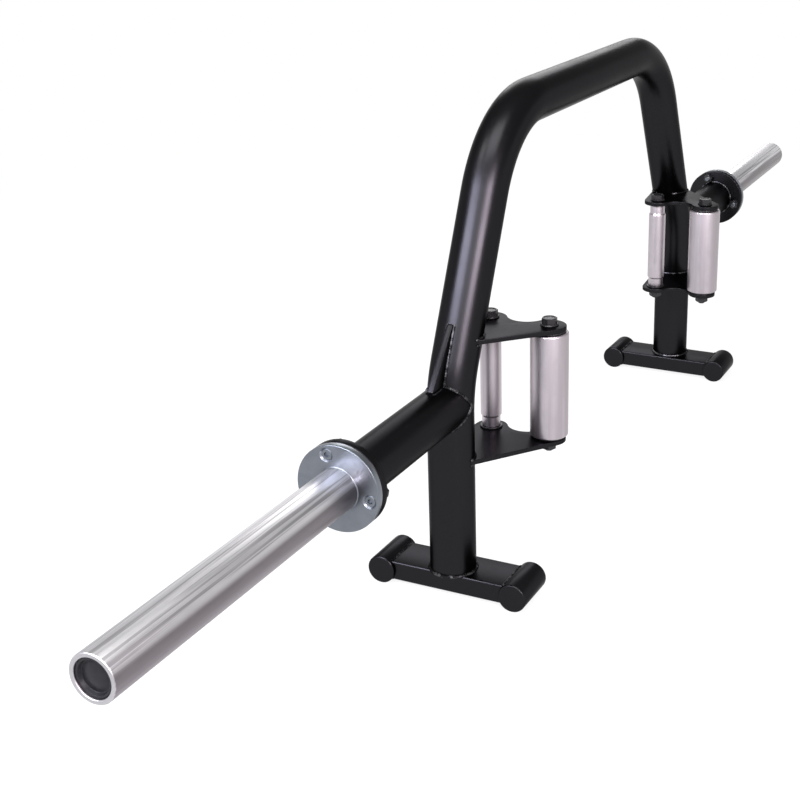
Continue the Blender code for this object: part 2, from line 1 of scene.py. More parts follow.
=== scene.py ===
"""Looks of the open-ended trap bar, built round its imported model.

The file is laid out as an add-on. Sizes and colours are properties of the scene, each group of like
pieces has its own operator, and a panel in the sidebar lists them. Left is -X and right is +X.
"""

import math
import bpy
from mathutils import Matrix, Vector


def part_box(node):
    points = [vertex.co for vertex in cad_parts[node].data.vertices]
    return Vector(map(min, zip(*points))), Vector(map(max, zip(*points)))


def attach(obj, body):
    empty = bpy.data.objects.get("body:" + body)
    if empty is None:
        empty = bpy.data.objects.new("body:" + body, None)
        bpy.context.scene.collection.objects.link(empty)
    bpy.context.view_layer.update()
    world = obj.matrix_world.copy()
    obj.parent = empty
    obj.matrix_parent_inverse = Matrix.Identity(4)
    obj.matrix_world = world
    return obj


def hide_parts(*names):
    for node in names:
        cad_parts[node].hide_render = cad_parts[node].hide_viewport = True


bl_info = {
    "name": "Open-ended trap bar",
    "version": (1, 0, 0),
    "blender": (4, 5, 0),
    "location": "3D View > Sidebar > Trap bar",
    "description": "Builds the fine pieces and finishes of a trap bar round its fixed frame",
    "category": "Object",
}

import bmesh
import bpy
from bpy.props import FloatProperty, FloatVectorProperty, PointerProperty
from bpy.types import Operator, Panel, PropertyGroup
from mathutils import Matrix, Vector

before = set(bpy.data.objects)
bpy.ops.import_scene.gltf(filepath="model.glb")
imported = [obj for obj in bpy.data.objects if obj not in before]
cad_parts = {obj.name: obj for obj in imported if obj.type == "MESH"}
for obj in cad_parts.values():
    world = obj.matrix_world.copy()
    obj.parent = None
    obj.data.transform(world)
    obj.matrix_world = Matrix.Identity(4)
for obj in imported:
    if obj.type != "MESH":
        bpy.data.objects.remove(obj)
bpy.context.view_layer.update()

UP = Vector((0, 0, 1))
FULL_TURN = 2 * math.pi
SIDES = (("left", -1), ("right", 1))
GRIPS = ("thick", "thin")
SCREWS = 3

# How finely round shapes are drawn
TUBE_SIDES = 72
DISC_SIDES = 96
SMALL_SIDES = 48
WIRE_SIDES = 180
PLATE_ARC_STEPS = 24
CROWN_STEPS = 8
BEND_STEP = math.radians(3)

# Corners sharper than these are rounded, and softer ones are shaded smooth
EDGE_ANGLE = math.radians(30)
CAP_EDGE_ANGLE = math.radians(35)
GRIP_EDGE_ANGLE = math.radians(20)
SMOOTH_ANGLE = math.radians(32)

# Gaps between pieces that seat on each other, and round the grip bolts
SEAT_GAP = 0.0003
PIN_PLAY = 0.0004

# Size of the square that is merged to an outline's first point
START_SIZE = 0.001

# Points closer than these are one point
MERGE = 0.000002
OUTLINE_MERGE = 0.00002
TOUCHING = 0.0001

# How far cutters stand out of what they cut
CUT_OVER = 0.001
DRILL_OVER = 0.01
DRILL_LENGTH = 0.03


def node_size(node):
    """A node's extent along each axis."""
    lowest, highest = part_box(node)
    return highest - lowest


def node_centre(node):
    """The middle of a node's box."""
    lowest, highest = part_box(node)
    return (lowest + highest) / 2


def foot_of(node):
    """The middle of a node's underside."""
    spot = node_centre(node)
    spot.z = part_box(node)[0].z
    return spot


def inner_end(node, side):
    """Where a node ends towards the middle of the bar."""
    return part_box(node)[side < 0].x


def outer_end(node, side):
    """Where a node ends away from the middle of the bar."""
    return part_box(node)[side > 0].x


ARCH_LOW, ARCH_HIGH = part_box("arch_tube")
TUBE_DIAMETER = node_size("arch_tube").y
SLEEVE_Z = node_centre("right_sleeve").z
SLEEVE_END = outer_end("right_sleeve", 1)


def metres(name, description, default):
    """A length that a user may change."""
    return FloatProperty(
        name=name, description=description, default=default, min=0.0, unit="LENGTH", precision=5
    )


def tint(name, description, default):
    """A colour that a user may change."""
    return FloatVectorProperty(
        name=name, description=description, default=default, size=3, min=0.0, max=1.0,
        subtype="COLOR",
    )


def degrees(name, description, default):
    """An angle that a user may change, its default in degrees."""
    return FloatProperty(
        name=name, description=description, default=math.radians(default), unit="ROTATION"
    )


def fraction(name, description, default):
    """A part of a whole that a user may change."""
    return FloatProperty(
        name=name, description=description, default=default, min=0.0, max=1.0, subtype="FACTOR"
    )


class TubeSizes(PropertyGroup):
    """Sizes of the bent tube, the stub tubes and the gussets."""

    diameter: metres("Tube diameter", "Outside diameter of the tube", TUBE_DIAMETER)
    wall: metres("Tube wall", "Wall of the tube", 0.003)
    post_x: metres("Post", "Post's axis from the middle", ARCH_HIGH.x - TUBE_DIAMETER / 2)
    foot_z: metres("Post foot", "Height of the post's lower end", ARCH_LOW.z)
    kink_z: metres("Kink height", "Height where post and leg would meet", 0.278)
    kink_radius: metres("Kink radius", "Bend between post and leg", 0.150)
    corner_x: metres("Corner", "Upper corner from the middle", 0.2975)
    corner_radius: metres("Corner radius", "Bend between leg and top", 0.162)
    top_z: metres("Top height", "Height of the top's axis", ARCH_HIGH.z - TUBE_DIAMETER / 2)
    gusset_thickness: metres("Gusset thickness", "Thickness of the gusset", 0.008)
    gusset_tip: metres("Gusset tip", "Blunt edge at the gusset's tips", 0.003)
    gusset_edge: metres("Gusset edge", "Rounding along the gusset's edges", 0.0008)


class SleeveSizes(PropertyGroup):
    """Sizes of the sleeves, their caps and their flanges."""

    diameter: metres(
        "Sleeve diameter", "Outside diameter of the sleeve", node_size("right_sleeve").y
    )
    wall: metres("Sleeve wall", "Wall of the sleeve", 0.005)
    chamfer: metres("Sleeve chamfer", "Chamfer round the sleeve's end", 0.0015)
    seat_depth: metres("Sleeve seat", "Depth of the sleeve's seat in its flange", 0.003)
    cap_rim: metres("Cap rim", "Width of the cap's raised rim", 0.0025)
    cap_dish: metres("Cap dish", "Depth of the groove inside the cap's rim", 0.004)
    cap_crown: metres("Cap crown", "Rise of the cap's middle above the groove", 0.003)
    cap_crown_share: fraction("Crown share", "Share of the cap's face that the crown takes", 0.84)
    cap_edge: metres("Cap edge", "Rounding along the cap's edges", 0.0005)
    flange_edge: metres("Flange edge", "Chamfer along the flanges' rims", 0.001)


class FastenerSizes(PropertyGroup):
    """Sizes of the screws, bolts and nuts."""

    screw_circle: metres("Screw circle", "Diameter of the circle of flange screws", 0.080)
    screw_angle: degrees("First screw", "Angle of the first flange screw", 71.5)
    screw_diameter: metres("Screw diameter", "Shank of a flange screw", 0.008)
    screw_head: metres("Screw head", "Diameter of the countersunk head", 0.0136)
    screw_hole: metres("Countersink", "Diameter of the countersink at the flange's face", 0.0165)
    screw_sink: metres("Screw sink", "Depth of the head's face below the flange", 0.0014)
    screw_socket: metres("Screw socket", "Width across the flats of the hexagon socket", 0.006)
    socket_depth: metres("Socket depth", "Depth of the hexagon socket", 0.003)
    flange_nut: metres("Flange nut", "Width across the flats of a flange nut", 0.014)
    bolt_diameter: metres("Bolt diameter", "Shank of a grip bolt", 0.012)
    bolt_head: metres("Bolt head", "Width across the flats of a grip bolt and its nut", 0.018)
    bolt_collar: metres("Bolt collar", "Diameter of the collar under the bolt's head", 0.024)
    collar_height: metres("Collar height", "Height of the collar", 0.002)
    fine_pitch: metres("Screw pitch", "Pitch of the flange screws", 0.00125)
    coarse_pitch: metres("Bolt pitch", "Pitch of the grip bolts", 0.00175)
    bolt_thread: metres("Bolt thread", "Length of the grip bolts' thread", 0.030)
    washer_edge: metres("Washer edge", "Rounding along the washers' edges", 0.0004)


class FootSizes(PropertyGroup):
    """Sizes of the feet."""

    bar_edge: metres("Bar edge", "Rounding along the foot bar's edges", 0.0025)
    round_edge: metres("Round edge", "Rounding at the round bars' ends", 0.0025)


class GripSizes(PropertyGroup):
    """Sizes of the grips and the plates that carry them."""

    thick_wall: metres("Thick grip wall", "Wall of the thick grip's tube", 0.003)
    thick_chamfer: metres("Thick grip chamfer", "Chamfer at the thick grip's ends", 0.0025)
    neck_diameter: metres("Neck diameter", "Diameter of the thin grip's necks", 0.0245)
    neck_length: metres("Neck length", "Length of the thin grip's necks", 0.013)
    shoulder: metres("Shoulder", "Length of the slope between neck and grip", 0.0025)
    thin_edge: metres("Thin grip edge", "Rounding along the thin grip's edges", 0.0007)
    bush_edge: metres("Bush edge", "Rounding along the bushes' edges", 0.0006)
    lobe: metres("Lobe diameter", "Diameter of the plate round a bolt", 0.044)
    notch: metres("Notch diameter", "Diameter of the notch between the lobes", 0.052)
    root_inset: metres("Root inset", "How far the plate's root lies inside the tube", 0.003)
    plate_edge: metres("Plate edge", "Rounding along the plates' edges", 0.0007)


class WeldSizes(PropertyGroup):
    """Sizes of the weld beads."""

    tube_bead: metres("Tube bead", "Radius of the beads on the tubes", 0.0024)
    plate_bead: metres("Plate bead", "Radius of the beads along the plates and bars", 0.0019)
    ripple: metres("Ripple", "Distance from one ripple of a bead to the next", 0.0032)
    sleeve_fillet: metres("Sleeve fillet", "Fillet where a sleeve meets its flange", 0.0013)


class Colours(PropertyGroup):
    """Colours of the finishes."""

    coat: tint("Powder coat", "Black coat of the frame", (0.0205, 0.020, 0.022))
    dust: tint("Dust", "Dust on the frame's coat", (0.055, 0.055, 0.057))
    # Plain chrome, shown on the sleeves' tops as a painted highlight
    chrome: tint("Chrome", "Plated steel where the plates rub it", (0.86, 0.85, 0.87))
    # Darker copy of the chrome, painted on the sleeves' undersides as painted shade
    painted_shade_chrome: tint("Dull chrome", "Plated steel of the sleeves' undersides", (0.235, 0.215, 0.23))
    zinc: tint("Zinc", "Zinc plate of the sleeve flanges", (0.182, 0.199, 0.223))
    grip: tint("Grip steel", "Bright steel of the grips", (0.472, 0.432, 0.458))
    oxide: tint("Black oxide", "Blackened steel of bolts and nuts", (0.035, 0.034, 0.036))
    bare: tint("Bare steel", "Steel where the black oxide is rubbed off", (0.16, 0.15, 0.14))
    plastic: tint("Plastic", "Moulded caps and bushes", (0.006, 0.006, 0.007))


class StageSizes(PropertyGroup):
    """The floor, the light and the camera."""

    floor: tint("Floor", "Colour of the floor", (0.92, 0.92, 0.92))
    glow: fraction("Glow", "Share of plain white in the floor under the bar", 0.85)
    fade_start: metres("Fade start", "Where the floor begins to fade to plain white", 0.7)
    fade_end: metres("Fade end", "Where the floor is plain white", 2.6)
    wall_away: metres("Backdrop", "Backdrop from the middle", 14.0)
    wall_height: metres("Backdrop height", "Height of the backdrop", 3.8)
    world: FloatProperty(name="World", description="Strength of the plain light all round",
                         default=0.44, min=0.0)
    azimuth: degrees("Azimuth", "Camera's way round the bar from -Y", -63.94)
    elevation: degrees("Elevation", "Camera's height above the horizon", 18.94)
    roll: degrees("Roll", "Camera's turn about its own view", -0.93)
    distance: metres("Distance", "Camera to the point it looks at", 2.21198)
    target: FloatVectorProperty(name="Target", description="Point that the camera looks at",
                                default=(-0.0513, 0.17327, 0.2089), subtype="TRANSLATION",
                                unit="LENGTH")
    lens: FloatProperty(name="Lens", description="Focal length in millimetres", default=64.586,
                        min=1.0, unit="CAMERA")
    shift_x: FloatProperty(name="Shift across", description="Lens shift across the frame",
                           default=-0.08)
    shift_y: FloatProperty(name="Shift up", description="Lens shift up the frame",
                           default=-0.089625)


# Modelling, as by hand


def choose(piece=None):
    """Leaves this piece alone selected and active, or nothing selected."""
    bpy.ops.object.select_all(action="DESELECT")
    if piece:
        piece.select_set(True)
        bpy.context.view_layer.objects.active = piece


def settle(name):
    """Names the new piece and applies its place, so that its object sits at the origin."""
    piece = bpy.context.object
    piece.name = name
    piece.data.name = name
    bpy.ops.object.transform_apply(location=True, rotation=True, scale=True)
    return piece


def start_point(name, spot):
    """A piece of one point, in edit mode, from which an outline is drawn."""
    choose()
    bpy.ops.mesh.primitive_plane_add(size=START_SIZE, location=spot)
    piece = settle(name)
    bpy.ops.object.mode_set(mode="EDIT")
    bpy.ops.mesh.select_all(action="SELECT")
    bpy.ops.mesh.merge(type="CENTER")
    return piece


def draw(move):
    """Extrudes what is selected along a move."""
    bpy.ops.mesh.extrude_region_move(TRANSFORM_OT_translate={"value": tuple(move)})


def sweep(angle, centre, axis, steps):
    """Spins what is selected right-handed about an axis. The operator turns the other way."""
    bpy.ops.mesh.spin(steps=steps, angle=-angle, center=tuple(centre), axis=tuple(axis))


def close_up():
    """Merges doubles and turns the faces outwards."""
    bpy.ops.mesh.select_all(action="SELECT")
    bpy.ops.mesh.remove_doubles(threshold=MERGE)
    bpy.ops.mesh.normals_make_consistent(inside=False)
    bpy.ops.object.mode_set(mode="OBJECT")


def turned(name, profile, sides=DISC_SIDES, closed=False):
    """A shape turned about Z from (radius, height) points. A closed profile makes a ring."""
    points = [Vector((radius, 0, height)) for radius, height in profile]
    if closed:
        points.append(points[0])
    piece = start_point(name, points[0])
    for before, after in zip(points, points[1:]):
        draw(after - before)
    bpy.ops.mesh.select_all(action="SELECT")
    sweep(FULL_TURN, (0, 0, 0), UP, sides)
    close_up()
    return piece


def ring(name, outer, bore, length, sides=DISC_SIDES):
    """A round tube about Z, from 0 up."""
    profile = [(outer, length), (outer, 0), (bore, 0), (bore, length)]
    return turned(name, profile, sides, closed=True)


def rod(name, radius, spot, way, length, sides=TUBE_SIDES):
    """A plain bar from a spot along a way."""
    choose()
    middle = Vector(spot) + Vector(way) * length / 2
    turn = Vector(way).to_track_quat("Z", "Y").to_euler()
    bpy.ops.mesh.primitive_cylinder_add(
        vertices=sides, radius=radius, depth=length, location=middle, rotation=turn
    )
    return settle(name)


def stand(piece, spot, way=UP, facing=None):
    """Points a piece drawn along Z along a way, its X towards facing, and applies the place."""
    along = Vector(way).normalized()
    across = Vector(facing) if facing else Vector((0, 1, 0))
    across = (across - along * across.dot(along)).normalized()
    turn = Matrix((across, along.cross(across), along)).transposed().to_4x4()
    choose(piece)
    piece.matrix_world = Matrix.Translation(spot) @ turn
    bpy.ops.object.transform_apply(location=True, rotation=True, scale=True)
    return piece


def on_sleeve_axis(piece, x, side):
    """Stands a turned piece on the sleeves' axis, from x outwards."""
    return stand(piece, (x, 0, SLEEVE_Z), (side, 0, 0), UP)


def twin(piece, name):
    """A copy with a mesh of its own."""
    choose(piece)
    bpy.ops.object.duplicate(linked=False)
    copy = bpy.context.object
    copy.name = name
    copy.data.name = name
    return copy


def discard(*pieces):
    """Removes cutters and patterns that are no longer needed."""
    for piece in pieces:
        bpy.data.objects.remove(piece, do_unlink=True)


def apply_step(piece, step):
    """Applies a modifier."""
    choose(piece)
    bpy.ops.object.modifier_apply(modifier=step.name)


def carve(piece, tool, operation="DIFFERENCE"):
    """Cuts a piece with another one, or joins or intersects the two."""
    step = piece.modifiers.new("Carve", "BOOLEAN")
    step.operation = operation
    step.object = tool
    step.solver = "EXACT"
    apply_step(piece, step)


def soften(piece, width, segments=3, angle=EDGE_ANGLE):
    """Rounds a piece's sharp edges."""
    step = piece.modifiers.new("Edges", "BEVEL")
    step.width = width
    step.segments = segments
    step.limit_method = "ANGLE"
    step.angle_limit = angle
    apply_step(piece, step)


def thread(radius, top, bottom, pitch):
    """Profile points of a thread's ridges, half a pitch deep, down from top to bottom."""
    points = []
    height = top
    while height - pitch > bottom:
        points.append((radius, height))
        points.append((radius - pitch / 2, height - pitch / 2))
        height -= pitch
    points.append((radius, height))
    return points


def hand_over(piece, finish, body, *nodes):
    """Gives a finished piece its finish and its body, and lets it stand for CAD nodes."""
    piece.data.materials.clear()
    piece.data.materials.append(bpy.data.materials[finish])
    choose(piece)
    bpy.ops.object.shade_smooth_by_angle(angle=SMOOTH_ANGLE)
    if nodes:
        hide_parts(*nodes)
    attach(piece, body)


# The arch's run


def leg_lean(tube):
    """The legs' angle from upright."""
    return math.atan2(tube.post_x - tube.corner_x, tube.top_z - tube.kink_z)


def leg_x(tube, height):
    """The arch's axis at a height of its straight post or its straight leg."""
    kink_start = tube.kink_z - tube.kink_radius * math.tan(leg_lean(tube) / 2)
    if height < kink_start:
        return tube.post_x
    return tube.post_x - (height - tube.kink_z) * math.tan(leg_lean(tube))


def bent_shell(name, tube, radius):
    """The arch's outer face, open at both feet, swept from the right foot over to the left one."""
    lean = leg_lean(tube)
    corner_turn = math.pi / 2 - lean
    kink_cut = tube.kink_radius * math.tan(lean / 2)
    corner_cut = tube.corner_radius * math.tan(corner_turn / 2)
    leg = math.hypot(tube.post_x - tube.corner_x, tube.top_z - tube.kink_z)
    post_run = tube.kink_z - kink_cut - tube.foot_z
    leg_run = leg - kink_cut - corner_cut
    choose()
    bpy.ops.mesh.primitive_circle_add(
        vertices=TUBE_SIDES, radius=radius, location=(tube.post_x, 0, tube.foot_z)
    )
    piece = settle(name)
    bpy.ops.object.mode_set(mode="EDIT")
    bpy.ops.mesh.select_all(action="SELECT")
    spot = Vector((tube.post_x, 0, tube.foot_z))
    heading = math.pi / 2
    runs = [
        (post_run, tube.kink_radius, lean),
        (leg_run, tube.corner_radius, corner_turn),
        (2 * (tube.corner_x - corner_cut), tube.corner_radius, corner_turn),
        (leg_run, tube.kink_radius, lean),
        (post_run, 0, 0),
    ]
    for length, bend, turn in runs:
        way = Vector((math.cos(heading), 0, math.sin(heading)))
        draw(way * length)
        spot += way * length
        if not turn:
            continue
        centre = spot + Vector((-way.z, 0, way.x)) * bend
        sweep(turn, centre, (0, -1, 0), math.ceil(turn / BEND_STEP))
        heading += turn
        spot = centre + Vector((math.sin(heading), 0, -math.cos(heading))) * bend
    close_up()
    return piece


def arch_core(tube):
    """A solid arch, just larger than the tube, for hollowing what seats on it."""
    core = bent_shell("arch_core", tube, tube.diameter / 2 + SEAT_GAP)
    choose(core)
    bpy.ops.object.mode_set(mode="EDIT")
    bpy.ops.mesh.select_all(action="SELECT")
    bpy.ops.mesh.fill_holes(sides=0)
    close_up()
    return core


# Finishes


class Wire:
    """A node's output, on which arithmetic adds the Math nodes that work it out."""

    def __init__(self, recipe, socket):
        self.recipe = recipe
        self.socket = socket

    def __add__(self, other):
        return self.recipe.maths("ADD", self, other)

    def __mul__(self, other):
        return self.recipe.maths("MULTIPLY", self, other)

    __radd__ = __add__
    __rmul__ = __mul__


class Recipe:
    """The nodes of one finish."""

    def __init__(self, name, metallic, roughness):
        self.finish = bpy.data.materials.new(name)
        self.finish.use_nodes = True
        self.tree = self.finish.node_tree
        self.shader = self.tree.nodes["Principled BSDF"]
        self.constant("Metallic", metallic)
        self.constant("Roughness", roughness)
        self.object_place = self.node("ShaderNodeTexCoord", {}, {}, "Object")

    def node(self, kind, settings, values, output=0):
        """Adds a node, sets its settings and then its sockets, and gives one of its outputs."""
        made = self.tree.nodes.new(kind)
        for name, value in settings.items():
            setattr(made, name, value)
        for name, value in values.items():
            if isinstance(value, Wire):
                self.tree.links.new(value.socket, made.inputs[name])
            else:
                made.inputs[name].default_value = value
        return Wire(self, made.outputs[output])

    def stretched(self, scale, centre=(0, 0, 0)):
        """Object coordinates about a centre, scaled unlike along each axis."""
        values = {"Vector": self.object_place, "Location": tuple(-part for part in centre)}
        moved = self.node("ShaderNodeMapping", {"vector_type": "POINT"}, values)
        return self.vectors("MULTIPLY", moved, scale)

    def noise(self, place, scale, detail=2.0, rough=0.5, warp=0.0):
        """Soft random patches, from 0 to 1."""
        values = {
            "Vector": place, "Scale": scale, "Detail": detail, "Roughness": rough,
            "Distortion": warp,
        }
        return self.node("ShaderNodeTexNoise", {}, values, "Fac")

    def span(self, value, low, high, to_low=0.0, to_high=1.0):
        """Maps a value from one range to another, softly at both ends."""
        values = {
            "Value": value, "From Min": low, "From Max": high, "To Min": to_low, "To Max": to_high,
        }
        settings = {"interpolation_type": "SMOOTHSTEP"}
        return self.node("ShaderNodeMapRange", settings, values, "Result")

    def blend(self, share, first, second):
        """A colour between two others."""
        colours = [shade if isinstance(shade, Wire) else (*shade, 1.0) for shade in (first, second)]
        values = {0: share, 6: colours[0], 7: colours[1]}
        return self.node("ShaderNodeMix", {"data_type": "RGBA"}, values, 2)

    def maths(self, operation, *values):
        """Arithmetic on numbers."""
        return self.node("ShaderNodeMath", {"operation": operation}, dict(enumerate(values)))

    def vectors(self, operation, *values, output="Vector"):
        """Arithmetic on places."""
        settings = {"operation": operation}
        return self.node("ShaderNodeVectorMath", settings, dict(enumerate(values)), output)

    def part(self, place, axis):
        """One coordinate of a place."""
        return self.node("ShaderNodeSeparateXYZ", {}, {"Vector": place}, axis)

    def bump(self, height, depth, under=None):
        """Unevenness of a depth in metres, laid over another one."""
        values = {"Height": height, "Strength": 1.0, "Distance": depth}
        if under:
            values["Normal"] = under
        return self.node("ShaderNodeBump", {}, values)

    def feed(self, name, value):
        """Lets a varying value into the shader."""
        self.tree.links.new(value.socket, self.shader.inputs[name])

    def constant(self, name, value):
        """Sets a value that is the same all over."""
        self.shader.inputs[name].default_value = value

    def edge_tint(self, level):
        """Sets how much of the light that meets a metal at a slant it gives back."""
        self.constant("Specular Tint", (level, level, level, 1.0))


def shaded(colour, amount):
    """A colour made darker, or lighter up to white."""
    return tuple(min(1.0, part * amount) for part in colour)


# What the coat and the oxide, mixed as dark metals, give back at a slant
COAT_EDGE_TINT = 0.51
OXIDE_EDGE_TINT = 0.5

# Heights from a sleeve's axis between which the painted highlight on its top and the darker painted
# shade under it set in, and how far from the sleeve's end the unshaded band and the bright face
# begin
LIGHT_TOP_FROM = 0.006
LIGHT_TOP_TO = 0.015
SHADE_BAND_FROM = -0.014
SHADE_BAND_TO = 0.006
UNSHADED_END = 0.0015
BRIGHT_FACE = 0.001


def mix_powder_coat(colours):
    """Satin black coat: slight orange peel, a little dust, and patches more and less glossy.

    It is mixed as a very dark metal, because the tint at its edges then keeps it black at a slant.
    """
    recipe = Recipe("powder_coat", metallic=1.0, roughness=0.3)
    place = recipe.object_place
    patches = recipe.noise(place, scale=9.0, detail=3.0)
    dust = recipe.span(recipe.noise(place, scale=160.0, detail=4.0, rough=0.65), 0.55, 0.85)
    recipe.feed("Base Color", recipe.blend(dust * 0.25 * patches, colours.coat, colours.dust))
    recipe.feed("Roughness", recipe.span(patches, 0.3, 0.7, 0.28, 0.34) + dust * 0.12)
    peel = recipe.bump(recipe.noise(place, scale=420.0, detail=1.0), depth=0.00004)
    grain = recipe.noise(place, scale=1500.0, detail=2.0)
    recipe.feed("Normal", recipe.bump(grain, depth=0.00001, under=peel))
    recipe.edge_tint(COAT_EDGE_TINT)


def mix_weld_coat(colours):
    """The same coat over a weld, with lighter grey patches on the crests: partly thin coat, partly
    painted highlight.
    """
    recipe = Recipe("weld_coat", metallic=1.0, roughness=0.34)
    place = recipe.object_place
    # Lighter patches on the crests: thin coat showing grey, and partly painted highlight
    thin_coat_and_sheen = recipe.span(recipe.noise(place, scale=130.0, detail=4.0, rough=0.6), 0.45, 0.62)
    recipe.feed("Base Color", recipe.blend(thin_coat_and_sheen, colours.coat, shaded(colours.dust, 1.8)))
    recipe.feed("Roughness", recipe.span(thin_coat_and_sheen, 0.0, 1.0, 0.26, 0.42))
    recipe.feed("Normal", recipe.bump(recipe.noise(place, scale=600.0, detail=2.0), depth=0.0001))
    recipe.edge_tint(COAT_EDGE_TINT)


def mix_chrome(colours):
    """Plated steel, light in streaks along its top as painted highlight, a darker grey underneath
    as painted shade.
    """
    recipe = Recipe("sleeve_plating", metallic=1.0, roughness=0.3)
    along = recipe.stretched((0.012, 1.0, 1.0))
    lines = recipe.noise(along, scale=240.0, detail=2.0, rough=0.6)
    hairs = recipe.noise(along, scale=900.0, detail=2.0, rough=0.7)
    clouds = recipe.noise(recipe.stretched((0.25, 1.0, 1.0)), scale=90.0, detail=3.0, rough=0.6)
    height = recipe.part(recipe.stretched((0.0, 0.0, 1.0), (0, 0, SLEEVE_Z)), "Z")
    away = recipe.part(recipe.vectors("ABSOLUTE", recipe.object_place), "X")
    # Painted highlight on the top and painted shade underneath; the band at the end gets no shade
    painted_light_top = recipe.span(height, LIGHT_TOP_FROM, LIGHT_TOP_TO)
    unshaded_end = recipe.span(away, SLEEVE_END - UNSHADED_END, SLEEVE_END)
    lighter_part = recipe.maths("MAXIMUM", painted_light_top, unshaded_end)
    streaks = recipe.span(lines, 0.38, 0.54)
    drawn = recipe.blend(streaks, shaded(colours.chrome, 0.44), shaded(colours.chrome, 0.94))
    face = recipe.span(away, SLEEVE_END - BRIGHT_FACE, SLEEVE_END)
    bright = recipe.blend(face, drawn, shaded(colours.chrome, 0.62))
    # Painted shade, darkest just under the light top
    painted_shade_band = recipe.span(height, SHADE_BAND_FROM, SHADE_BAND_TO)
    painted_shade_chrome = recipe.blend(painted_shade_band, colours.painted_shade_chrome, shaded(colours.painted_shade_chrome, 0.62))
    painted_shade_chrome = recipe.blend(clouds * 0.5, painted_shade_chrome, shaded(colours.painted_shade_chrome, 1.15))
    lined = recipe.blend(hairs * 0.26, bright, painted_shade_chrome)
    recipe.feed("Base Color", recipe.blend(lighter_part, painted_shade_chrome, lined))
    recipe.feed("Roughness", recipe.span(lines, 0.3, 0.7, 0.4, 0.28) + clouds * 0.1)
    grooves = recipe.bump(lines, depth=0.00008)
    recipe.feed("Normal", recipe.bump(hairs, depth=0.00001, under=grooves))


def mix_zinc(colours):
    """Zinc plate on a turned face: fine rings round the sleeve and faint blue-grey clouds."""
    recipe = Recipe("zinc_plating", metallic=1.0, roughness=0.36)
    spoke = recipe.stretched((0.0, 1.0, 1.0), (0, 0, SLEEVE_Z))
    away = recipe.vectors("LENGTH", spoke, output="Value")
    values = {"W": away, "Scale": 1500.0, "Detail": 3.0}
    rings = recipe.node("ShaderNodeTexNoise", {"noise_dimensions": "1D"}, values, "Fac")
    clouds = recipe.noise(recipe.object_place, scale=55.0, detail=4.0, rough=0.6, warp=0.4)
    cool = recipe.blend(recipe.span(clouds, 0.3, 0.7), shaded(colours.zinc, 0.86), colours.zinc)
    recipe.feed("Base Color", recipe.blend(rings * 0.3, cool, shaded(colours.zinc, 1.25)))
    recipe.feed("Roughness", recipe.span(clouds, 0.25, 0.75, 0.3, 0.36) + rings * 0.04)
    recipe.feed("Normal", recipe.bump(rings, depth=0.00001))


def mix_grip_steel(colours):
    """Bright steel of the grips: polished lengthwise, slightly lilac, with broad soft streaks."""
    recipe = Recipe("drawn_steel", metallic=1.0, roughness=0.33)
    along = recipe.stretched((1.0, 1.0, 0.02))
    broad = recipe.noise(along, scale=110.0, detail=1.0, rough=0.4)
    hairs = recipe.noise(along, scale=1100.0, detail=3.0, rough=0.7)
    clouds = recipe.noise(recipe.object_place, scale=45.0, detail=3.0, rough=0.6)
    warm = recipe.blend(recipe.span(clouds, 0.35, 0.7), colours.grip, shaded(colours.grip, 0.88))
    streaked = recipe.blend(recipe.span(broad, 0.35, 0.65), shaded(colours.grip, 0.74), warm)
    recipe.feed("Base Color", recipe.blend(hairs * 0.4, streaked, shaded(colours.grip, 1.3)))
    recipe.feed("Roughness", recipe.span(broad, 0.3, 0.7, 0.46, 0.33) + hairs * 0.05)
    drawn = recipe.bump(broad, depth=0.00012)
    recipe.feed("Normal", recipe.bump(hairs, depth=0.000012, under=drawn))


def mix_black_oxide(colours):
    """Blackened steel of bolts, nuts and washers, oily in places and rubbed in others."""
    recipe = Recipe("black_oxide", metallic=0.75, roughness=0.35)
    place = recipe.object_place
    clouds = recipe.noise(place, scale=220.0, detail=3.0, rough=0.6)
    lighter_part = recipe.span(recipe.noise(place, scale=700.0, detail=3.0, rough=0.7), 0.55, 0.8)
    dark = recipe.blend(clouds, shaded(colours.oxide, 0.7), shaded(colours.oxide, 1.4))
    recipe.feed("Base Color", recipe.blend(lighter_part * 0.35, dark, colours.bare))
    recipe.feed("Roughness", recipe.span(clouds, 0.3, 0.7, 0.22, 0.38))
    recipe.edge_tint(OXIDE_EDGE_TINT)
    grain = recipe.noise(place, scale=1800.0, detail=2.0)
    recipe.feed("Normal", recipe.bump(grain, depth=0.000015))


def mix_plastic(colours):
    """Moulded black plastic with a fine even grain."""
    recipe = Recipe("moulded_plastic", metallic=0.0, roughness=0.42)
    place = recipe.object_place
    grain = recipe.noise(place, scale=1600.0, detail=2.0, rough=0.6)
    clouds = recipe.noise(place, scale=90.0, detail=2.0)
    recipe.feed("Base Color", recipe.blend(clouds, colours.plastic, shaded(colours.plastic, 2.2)))
    recipe.feed("Roughness", recipe.span(clouds, 0.3, 0.7, 0.32, 0.42) + grain * 0.08)
    recipe.feed("Normal", recipe.bump(grain, depth=0.00003))
    recipe.constant("Specular IOR Level", 0.2)


